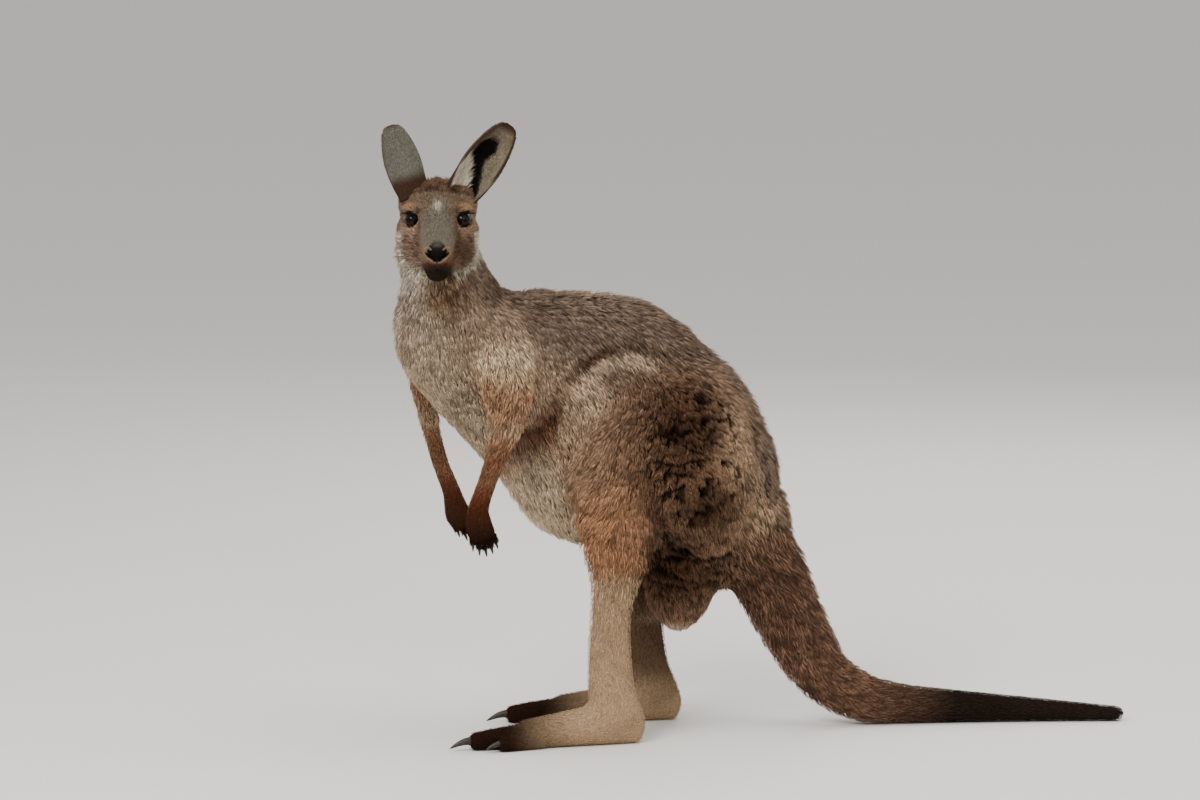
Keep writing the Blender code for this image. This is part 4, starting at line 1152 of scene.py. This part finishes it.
# ---------------------------------------------------------------- materials
def new_material(name, roughness, specular, tone, scale, low, high):
    """A principled material. Its colour, the markings or one tone, is varied by a fine noise in the
    object's own space, between the strengths low and high."""
    look = bpy.data.materials.new(name)
    look.use_nodes = True
    nodes, links = look.node_tree.nodes, look.node_tree.links
    skin = nodes["Principled BSDF"]
    skin.inputs["Roughness"].default_value = roughness
    skin.inputs["Specular IOR Level"].default_value = specular
    if tone is None:
        colour = nodes.new("ShaderNodeVertexColor")
        colour.layer_name = "markings"
    else:
        colour = nodes.new("ShaderNodeRGB")
        colour.outputs[0].default_value = tone
    place = nodes.new("ShaderNodeTexCoord")
    noise = nodes.new("ShaderNodeTexNoise")
    noise.inputs["Scale"].default_value = scale
    noise.inputs["Detail"].default_value = 3.0
    span = nodes.new("ShaderNodeMapRange")
    span.inputs["From Min"].default_value, span.inputs["From Max"].default_value = 0.3, 0.7
    span.inputs["To Min"].default_value, span.inputs["To Max"].default_value = low, high
    times = nodes.new("ShaderNodeVectorMath")
    times.operation = "SCALE"
    links.new(place.outputs["Object"], noise.inputs["Vector"])
    links.new(noise.outputs["Fac"], span.inputs["Value"])
    links.new(colour.outputs[0], times.inputs[0])
    links.new(span.outputs["Result"], times.inputs["Scale"])
    links.new(times.outputs["Vector"], skin.inputs["Base Color"])
    return look


def bumped(look, scale, strength, distance):
    """The material with a bump from a second, finer noise."""
    nodes, links = look.node_tree.nodes, look.node_tree.links
    grain = nodes.new("ShaderNodeTexNoise")
    grain.inputs["Scale"].default_value = scale
    grain.inputs["Detail"].default_value = 4.0
    bump = nodes.new("ShaderNodeBump")
    bump.inputs["Strength"].default_value = strength
    bump.inputs["Distance"].default_value = distance
    links.new(nodes["Texture Coordinate"].outputs["Object"], grain.inputs["Vector"])
    links.new(grain.outputs["Fac"], bump.inputs["Height"])
    links.new(bump.outputs["Normal"], nodes["Principled BSDF"].inputs["Normal"])
    return look


def finish_piece(piece, look):
    """Smooth shading, one material and the body it rides on."""
    piece.data.materials.clear()
    piece.data.materials.append(look)
    piece.data.polygons.foreach_set("use_smooth", np.ones(len(piece.data.polygons), bool))
    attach(piece, "root")


# ---------------------------------------------------------------- the coat
# By piece: zones, side of the body (1 left, -1 right, 0 both), part of the trunk, tufts and slot.
COAT = {
    "coat_back_left": (("trunk",), 1, (0.0, 0.50), 26500, "body_fur"),
    "coat_back_right": (("trunk",), -1, (0.0, 0.50), 18500, "body_fur"),
    "coat_chest_left": (("trunk", "throat"), 1, (0.50, 1.01), 28500, "body_fur"),
    "coat_chest_right": (("trunk", "throat"), -1, (0.50, 1.01), 21000, "body_fur"),
    "coat_thigh_left": (("thigh_left",), 0, None, 31500, "body_fur"),
    "coat_thigh_right": (("thigh_right",), 0, None, 20500, "body_fur"),
    "coat_tail": (("tail",), 0, None, 18000, "tail_fur"),
    "coat_legs": (("shank_left", "shank_right", "foot_left", "foot_right"), 0, None, 17000,
                  "limb_fur"),
    "coat_arms": (("arm_left", "arm_right"), 0, None, 17000, "limb_fur"),
    "coat_face": (("head",), 0, None, 29000, "head_fur"),
}
BELLY = 0.42              # where along a tuft it is widest
ROOT_SUNK = 0.0012        # how far a tuft's root lies under the skin
SHALLOWEST = 0.0004       # the least that a tuft's tip stands off the skin
SPINDLE = ((0, 1, 2), (0, 2, 3), (0, 3, 1), (1, 4, 2), (2, 4, 3), (3, 4, 1))
# For a tuft's five points: how dark by painted shade, darkest at the root, how much of the tip's
# colour, their least height on the floor in gaps, and their places on its patch of the map.
TUFT_SHADE = np.array([0.45, 0.90, 0.90, 1.0, 1.0])[None, :, None]
TUFT_BLEND = np.array([0, 0.30, 0.30, 0.42, 1.0])[None, :, None]
TUFT_FLOOR = np.array([1.0, 1.3, 1.6, 2.2, 1.9])
TUFT_PATCH = np.array([(0, -1), (-1, 0), (1, 0), (0, 0.3), (0.2, 1)]) * 0.0015
DARKEST, PALEST = 0.002, 0.9   # limits of a tuft's or the skin's colour


def sow(triangles, normals, areas, weight, count, rng):
    """Evenly spread roots: equal steps of the weighed area, each at a place in its triangle."""
    total = np.cumsum(areas * weight)
    at = (np.arange(count) + rng.random(count) * 0.9) / count * total[-1]
    i = np.clip(np.searchsorted(total, at), 0, len(total) - 1)
    u, v = rng.random(count), rng.random(count)
    over = u + v > 1
    u[over], v[over] = 1 - u[over], 1 - v[over]
    share = np.stack([1 - u - v, u, v], 1)[:, :, None]
    return (triangles[i] * share).sum(1), unit((normals[i] * share).sum(1))


def tufts(name, root, normal, way, long, wide, deep, bend, colour, tip_colour, atlas):
    """One coat piece. Each tuft is a spindle: a point under the skin, three corners, and its tip.

    Its middle line leaves the root along the lie of the coat, rises to the coat's depth as
    1 - (1 - t)^2, and bends aside by its own wave. Its map is a patch at its root's place.
    """
    n = len(root)
    side = unit(np.cross(normal, way))
    rise = deep * (1 - (1 - BELLY)**2)
    centre = root + way * (long * BELLY)[:, None] + normal * rise[:, None]
    centre = centre + side * (bend[0] * BELLY)[:, None]
    half, thick = side * (wide / 2)[:, None], normal * (wide * 0.45)[:, None]
    tip = root + way * long[:, None] + normal * deep[:, None] + side * bend[1][:, None]
    points = (root - normal * ROOT_SUNK, centre - half, centre + half, centre + thick, tip)
    out = np.stack(points, 1) + PLACE
    out[..., 2] = np.maximum(out[..., 2], FLOOR_GAP * TUFT_FLOOR)
    loops = (np.arange(n)[:, None] * 5 + np.array(SPINDLE).reshape(1, -1)).reshape(-1)
    mesh = bpy.data.meshes.new(name)
    mesh.vertices.add(n * 5)
    mesh.vertices.foreach_set("co", out.ravel())
    mesh.loops.add(n * 18)
    mesh.loops.foreach_set("vertex_index", loops)
    mesh.polygons.add(n * 6)
    mesh.polygons.foreach_set("loop_start", np.arange(n * 6) * 3)
    mesh.polygons.foreach_set("loop_total", np.full(n * 6, 3))
    uv = mesh.uv_layers.new(name="OFBake")
    spread = (atlas[:, None] + TUFT_PATCH[None]).reshape(-1, 2)
    uv.data.foreach_set("uv", np.clip(spread, 0, 1)[loops].astype(np.float32).ravel())
    mesh.update()
    # Painted shade: each tuft darker towards its root.
    tint = (colour[:, None] * (1 - TUFT_BLEND) + tip_colour[:, None] * TUFT_BLEND) * TUFT_SHADE
    add_colour(mesh, tint.reshape(-1, 3))
    finish_piece(linked(name, mesh), FUR)


def atlas_of(p, owner, place):
    """The place of each root on an unwrap of the skin: a strip for each tube or lump that it
    belongs to, the angle round it along u and the share along it along v."""
    kinds = np.unique(owner)
    out = np.zeros((len(p), 2))
    for k, j in enumerate(kinds):
        m = owner == j
        x, y = SHAPES[j].round_place(p[m], place[m])
        out[m] = strip(k, len(kinds), np.arctan2(y, x) / (2 * math.pi) + 0.5, place[m])
    return out


def strip(number, count, turn, along):
    """Places on one of so many upright strips of the map: shares of its width and of its height."""
    return np.column_stack([(number + 0.03 + 0.94 * turn) / count, 0.01 + 0.98 * along])


def face_gap(q):
    """Distance in the head's frame to what stays bare: the eyes, the nose's pad and the lips."""
    side = fold(q)
    eye = np.linalg.norm(side - EYE_AT, axis=1) - 0.0140
    pad = (side - (0, -0.1035, -0.030)) / (0.0085, 0.012, 0.0125)
    pad = np.linalg.norm(pad, axis=1) * 0.009 - 0.009
    lips = np.minimum(line_gap(side, MOUTH), line_gap(side, PHILTRUM) + 0.0008) - 0.0020
    return np.minimum.reduce([eye, pad, lips, line_gap(side, NOSTRIL) - 0.0042])


def grow_coat(mesh):
    """The coat pieces, rooted on the skin."""
    mesh.calc_loop_triangles()
    tri = np.empty(len(mesh.loop_triangles) * 3, np.int32)
    mesh.loop_triangles.foreach_get("vertices", tri)
    tri = tri.reshape(-1, 3)
    corners, normals = points_of(mesh)[tri], points_of(mesh, "normal")[tri]
    cross = np.cross(corners[:, 1] - corners[:, 0], corners[:, 2] - corners[:, 0])
    areas = np.linalg.norm(cross, axis=1) / 2
    middle = corners.mean(1)
    found = survey(middle)
    zone = np.array([shape.zone for shape in SHAPES])[found["owner"]]
    lump = np.array([isinstance(shape, Lump) for shape in SHAPES])[found["owner"]]
    trunk_share = np.where(lump, np.where(zone == "throat", 0.95, 0.0), found["place"])
    for number, (name, (zones, side, part, count, slot)) in enumerate(COAT.items()):
        inside = np.isin(zone, zones)
        if side:
            inside &= (middle[:, 0] if part[0] == 0 else side_of_chest(middle)) * side > 0
        if part:
            inside &= (trunk_share >= part[0]) & (trunk_share < part[1])
        if "head" in zones:
            inside &= face_gap(to_head(middle)) > 0
        rng = np.random.default_rng(17 + number)
        weight = inside / (0.0035 + found["depth"]) ** 1.15
        root, normal = sow(corners, normals, areas, weight, count, rng)
        grow_piece(name, root, normal, rng)


def side_of_chest(p):
    """Positive on the left of the trunk's own, turning middle line."""
    trunk = SHAPES[0]
    return trunk.round_place(p, trunk.measure(p)[1])[0]


def lie_of(root, normal, flow, depth, long, rng):
    """The way that each tuft leaves its root: the coat's lie, drawn towards the middle of its lock.
    Also the lock's chance."""
    wander = np.stack([mottle(root, 0.05, k) for k in (11, 12, 13)], 1)
    way = unit(flat(flow + 0.30 * wander, normal))
    pull, luck = np.zeros((len(root), 3)), np.zeros(len(root))
    for size, m in ((0.010, depth > 0.006), (0.006, depth <= 0.006)):
        if m.any():
            centre, luck[m] = locks(root[m], size)
            pull[m] = centre - root[m]
    pull = flat(pull, normal) * (0.45 * step(0.001, 0.008, depth))[:, None]
    way = unit(way * long[:, None] + pull + 0.10 * long[:, None] * rng.normal(size=(len(root), 3)))
    return unit(flat(way, normal)), luck


def rows_of(root, half, end):
    """How far each tuft's end and middle are up a row's crest, and its row's chance."""
    crest, behind, luck = np.zeros(len(root)), np.zeros(len(root)), np.zeros(len(root))
    wide_rows = shag(root) > 0.74
    for row, m in ((0.0150, wide_rows), (0.0100, ~wide_rows)):
        if m.any():
            crest[m], behind[m] = crests(end[m], row), crests(half[m], row)
            luck[m] = 0.5 + 0.5 * mottle(end[m], 1.3 * row, 40)
    return crest, behind, luck


def face_tufts(root):
    """How much longer the tufts are in the ruff behind the cheeks and on the crown: two shares."""
    q = to_head(root)
    u, v = face_view(fold(q)).T
    ruff = np.interp(v, (-0.095, -0.070, -0.045, -0.005, 0.012), (0, 0.8, 1, 0.35, 0))
    ruff = ruff * step(0.036, 0.054, u)
    ruff = ruff * step(-0.02, 0.0, q[:, 1]) * step(0.065, 0.045, q[:, 1])
    return ruff, step(0.036, 0.048, v) * step(-0.2, 0.6, mottle(root, 0.010, 41))


def grow_piece(name, root, normal, rng):
    """Length, width, lie, lock and colour of each tuft from its place on the body."""
    found = survey(root, ("flow",))
    depth, count = found["depth"], len(root)
    woolly = shag(root) * step(0.004, 0.008, depth)
    long = (0.0020 + 2.0 * depth) * (1 - 0.42 * woolly) * rng.uniform(0.8, 1.2, count)
    wide = (0.0006 + 0.108 * depth) * rng.uniform(0.75, 1.25, count)
    way, luck = lie_of(root, normal, found["flow"], depth, long, rng)
    wave = long * (0.08 + 0.30 * woolly) * np.sin(luck * 2 * math.pi + rng.normal(0, 0.5, count))
    half, end = (root + way * (share * long)[:, None] for share in (0.5, 0.95))
    crest, behind, row_luck = rows_of(root, half, end)
    strong = woolly + 0.20 * step(0.002, 0.006, depth) * (1 - woolly)
    deep = depth * rng.uniform(0.72, 1.10, count) * (1 + 1.15 * strong * (crest - 0.72))
    deep = np.maximum(deep, SHALLOWEST)
    if name == "coat_face":
        ruff, crown = face_tufts(root)
        long, deep = long * (1 + 0.7 * ruff + 0.7 * crown), deep * (1 + 0.8 * ruff + 1.1 * crown)
    seen = survey(root + way * (0.6 * long)[:, None], ("colour",))["colour"]
    tone = 1 + 0.14 * rng.normal(size=count).clip(-2, 2) + 0.14 * mottle(root, 0.022, 5)
    tone = tone + (0.12 + 0.40 * woolly) * (row_luck - 0.5)
    # Painted light and shade over the rows of locks: a tuft's base is darker where it lies in a row's
    # gap, and its tip lighter on a crest and darker in a gap.
    gap = (1 - strong * (0.95 - 1.05 * behind)).clip(0.06, 1.3)
    painted_tip_light_and_shade = (1 - strong * (0.97 - 1.72 * crest)).clip(0.04, 1.75)
    grizzle = rng.random(count)
    speck = np.where(grizzle < 0.22, 0.52, np.where(grizzle > 0.78, 1.44, 1.04))
    colour, tip = seen * (tone * gap)[:, None], seen * (tone * painted_tip_light_and_shade * speck)[:, None]
    tufts(name, root, normal, way, long, wide, deep, (wave, -wave * 0.6 * woolly),
          np.clip(colour, DARKEST, PALEST), np.clip(tip, DARKEST, PALEST),
          atlas_of(root, found["owner"], found["place"]))


def grow_ears():
    """Short fur over the ears' backs, and longer hairs that cross their hollows from the rim."""
    rng = np.random.default_rng(5)
    rows = []
    for number, word in enumerate(("left", "right")):
        for hollow, count, depth in ((False, 4800, 0.0008), (True, 4600, 0.0018)):
            s = 0.97 * rng.random(count) ** 0.9
            across = np.sin(rng.uniform(-1.40, 1.40, count))
            where, normal, up, aside, _ = ear_sheet(word, s, across)
            out = normal * (-1 if hollow else 1)
            way = np.tile(up, (count, 1)) + (0.35 * rng.normal(size=count))[:, None] * aside
            if hollow:
                way = way - (1.1 * across)[:, None] * aside
            colour = ear_colour(word, s, across, np.full(count, hollow))
            edge = np.maximum(s, np.abs(across))
            long = (0.011 if hollow else 0.0052) * rng.uniform(0.7, 1.3, count)
            long = long * (1 - 0.45 * step(0.80, 1.0, edge))
            if hollow:
                long = long * np.where(colour.mean(1) > 0.2, 1.3, 0.6)
            rows.append((where + out * (ear_half(s) * 0.8)[:, None], out, unit(flat(way, out)),
                         long, np.full(count, 0.0009), depth * (1 - 0.6 * step(0.7, 1.0, edge)),
                         colour, strip(number * 2 + hollow, 4, (across + 1) / 2, s)))
    root, out, way, long, wide, deep, colour, atlas = (np.concatenate(part) for part in zip(*rows))
    colour = colour * (1 + 0.22 * rng.normal(size=len(root)).clip(-2, 2))[:, None]
    bend = long * 0.10 * rng.normal(size=len(root))
    wide = wide * rng.uniform(0.7, 1.2, len(root))
    tufts("coat_ears", root, out, way, long, wide, deep, (bend, -bend),
          colour, np.clip(colour * 1.15, DARKEST, PALEST), atlas)


def grow_fingers():
    """Dark hairs along the fingers, over the roots of their claws."""
    rng = np.random.default_rng(6)
    n, rows = FINGER_HAIRS, []
    for number, (_, _, root, way, long) in enumerate(finger_rows()):
        f, turn = rng.uniform(0.15, 0.88, n), rng.uniform(0, 2 * math.pi, n)
        out = np.cos(turn)[:, None] * ACROSS + np.sin(turn)[:, None] * np.cross(way, ACROSS)
        lift = FINGER_THICK * np.interp(f, (0, 0.8, 1), (0.85, 0.75, 0.45))
        rows.append((root + np.outer(f * long * 0.96, way) + out * lift[:, None], out,
                     unit(way + 0.12 * out + 0.10 * rng.normal(size=(n, 3))),
                     strip(number, 10, turn / (2 * math.pi), f)))
    root, out, way, atlas = (np.concatenate(part) for part in zip(*rows))
    count = len(root)
    colour = np.tile(PAW, (count, 1)) * rng.uniform(0.6, 1.3, count)[:, None]
    bend = 0.0008 * rng.normal(size=count)
    tufts("coat_fingers", root, out, way, rng.uniform(0.0045, 0.0070, count),
          rng.uniform(0.0008, 0.0013, count), rng.uniform(0.0008, 0.0016, count), (bend, -bend),
          colour, colour, atlas)


# ---------------------------------------------------------------- studio
LIGHTS = (   # name, place, size and power
    ("key", (3.0, -2.8, 3.4), 1.8, 205), ("top", (0.4, 0.4, 4.2), 3.0, 105),
    ("fill", (2.0, 3.4, 1.8), 2.0, 28), ("rim", (-3.0, 1.5, 2.5), 2.0, 50),
    ("glint", (5.0, -0.6, 2.9), 0.30, 42))
LIGHT_COLOUR, LIT_POINT = (1.0, 0.96, 0.90), (0, 0, 0.45)
VIEW_AZIMUTH, VIEW_RISE, VIEW_DISTANCE, VIEW_WIDTH = 78.0, 7.0, 9.0, 1.86
VIEW_RIGHT, VIEW_UP = -0.0155, 0.5146
FILM = 36.0


def studio():
    """A plain pale floor, a wide soft key from the upper left, a fill and a pale sky."""
    bpy.ops.mesh.primitive_plane_add(size=90, location=(0, 0, -2 * FLOOR_GAP))
    floor = bpy.context.object
    floor.name = "studio_floor"
    plain = bpy.data.materials.new("studio_paper")
    plain.use_nodes = True
    paper = plain.node_tree.nodes["Principled BSDF"]
    paper.inputs["Base Color"].default_value = (0.70, 0.69, 0.67, 1)
    paper.inputs["Roughness"].default_value = 0.9
    floor.data.materials.append(plain)
    world = bpy.data.worlds.new("studio_sky")
    world.use_nodes = True
    world.node_tree.nodes["Background"].inputs["Color"].default_value = (1.0, 0.98, 0.95, 1)
    world.node_tree.nodes["Background"].inputs["Strength"].default_value = 0.78
    bpy.context.scene.world = world
    for name, at, size, power in LIGHTS:
        light = bpy.data.lights.new(name, "AREA")
        light.size, light.energy, light.color = size, power, LIGHT_COLOUR
        aim(linked(name, light), at, LIT_POINT)


def aim(thing, at, towards):
    """Put a light or the camera at a place, looking at another."""
    back = unit(np.array(at, float) - np.array(towards, float))
    right = unit(np.cross((0, 0, 1.0), back))
    turn = np.eye(4)
    turn[:3] = np.column_stack([right, np.cross(back, right), back, at])
    thing.matrix_world = Matrix(turn.tolist())


def camera():
    """A long lens, level with the animal's flank."""
    azimuth, rise = math.radians(VIEW_AZIMUTH), math.radians(VIEW_RISE)
    right = np.array((math.cos(azimuth), math.sin(azimuth), 0))
    level = math.cos(rise)
    back = np.array((math.sin(azimuth) * level, -math.cos(azimuth) * level, math.sin(rise)))
    target = right * VIEW_RIGHT + np.cross(back, right) * VIEW_UP + PLACE
    lens = bpy.data.cameras.new("camera")
    lens.sensor_width = FILM
    lens.lens = FILM * VIEW_DISTANCE / VIEW_WIDTH
    eye = linked("camera", lens)
    aim(eye, target + back * VIEW_DISTANCE, target)
    bpy.context.scene.camera = eye


# ---------------------------------------------------------------- the model
def whole_skin(roots):
    """The visible skin: the body, the ears and the fingers in one mesh, with its markings and painted
    shade.
    """
    ears = {word: ear_shell(word) for word in EARS}
    hands = [finger_shell(root, way, long) for _, _, root, way, long in finger_rows()]
    body = (points_of(roots), [list(f.vertices) for f in roots.polygons])
    skin = mesh_of("kangaroo_skin", *placed(join([body, *ears.values(), *hands])))
    p = points_of(skin.data) - PLACE
    tint = np.tile(PAW, (len(p), 1)).astype(float)
    start = len(body[0])
    tint[:start] = survey(p[:start], ("colour",))["colour"]
    s, a = (rows.ravel() for rows in ear_grid())
    for word in EARS:
        tint[start:start + len(s)] = ear_colour(word, s.clip(0, 1), np.cos(a), np.sin(a) < 0)
        start += len(s)
    # Painted shade: the skin under the coat is darkened by a quarter; the bare eyes, nose and lips
    # are not.
    tint[face_gap(to_head(p)) > 0.001] *= 0.75
    add_colour(skin.data, np.clip(tint, DARKEST, PALEST))
    look = new_material("skin_with_short_hair", 0.75, 0.04, None, 420.0, 0.65, 1.25)
    finish_piece(skin, bumped(look, 900.0, 0.5, 0.0006))
    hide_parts(*[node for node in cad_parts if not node.startswith(("eye_", "claw_"))])


def add_claws(look):
    """A horn for each claw of the hands and feet."""
    for word, i, root, way, long in finger_rows():
        at = root + way * long * 0.88
        shell = horn(at, at + way * FINGER_CLAW, 1.25 * FINGER_CLAW_RADIUS, (0.10, 0, 0), (0, 1, 0))
        claw = mesh_of(f"horn_hand_{word}_{i}", *placed(shell))
        finish_piece(claw, look)
        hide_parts(f"claw_hand_{word}_{i}")
    for word, side, _, back in LEGS:
        for number, (root, tip, radius) in TOE_CLAWS.items():
            ends = [(x * side, y + back, z) for x, y, z in (root, tip)]
            shell = horn(*ends, radius, (0, 0, 0.10), ACROSS)
            claw = mesh_of(f"horn_foot_{word}_{number}", *placed(shell))
            finish_piece(claw, look)
            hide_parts(f"claw_foot_{word}_{number}")


PLACE = np.array(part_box("eye_left")).mean(0) - from_head(EYE_AT)
FUR = new_material("fur_tufts", 0.70, 0.05, None, 260.0, 0.80, 1.20)
coat_roots = make_skin()
whole_skin(coat_roots.data)
wet_eye = new_material("wet_eye", 0.04, 0.10, None, 900.0, 0.8, 1.3)
for word, side in (("left", 1), ("right", -1)):
    eyeball(word, side, wet_eye)
claw_horn = new_material("claw_horn", 0.38, 0.3, HORN_BLACK, 300.0, 0.6, 1.7)
add_claws(bumped(claw_horn, 700.0, 0.4, 0.0002))
grow_coat(coat_roots.data)
bpy.data.objects.remove(coat_roots, do_unlink=True)
grow_ears()
grow_fingers()
studio()
camera()
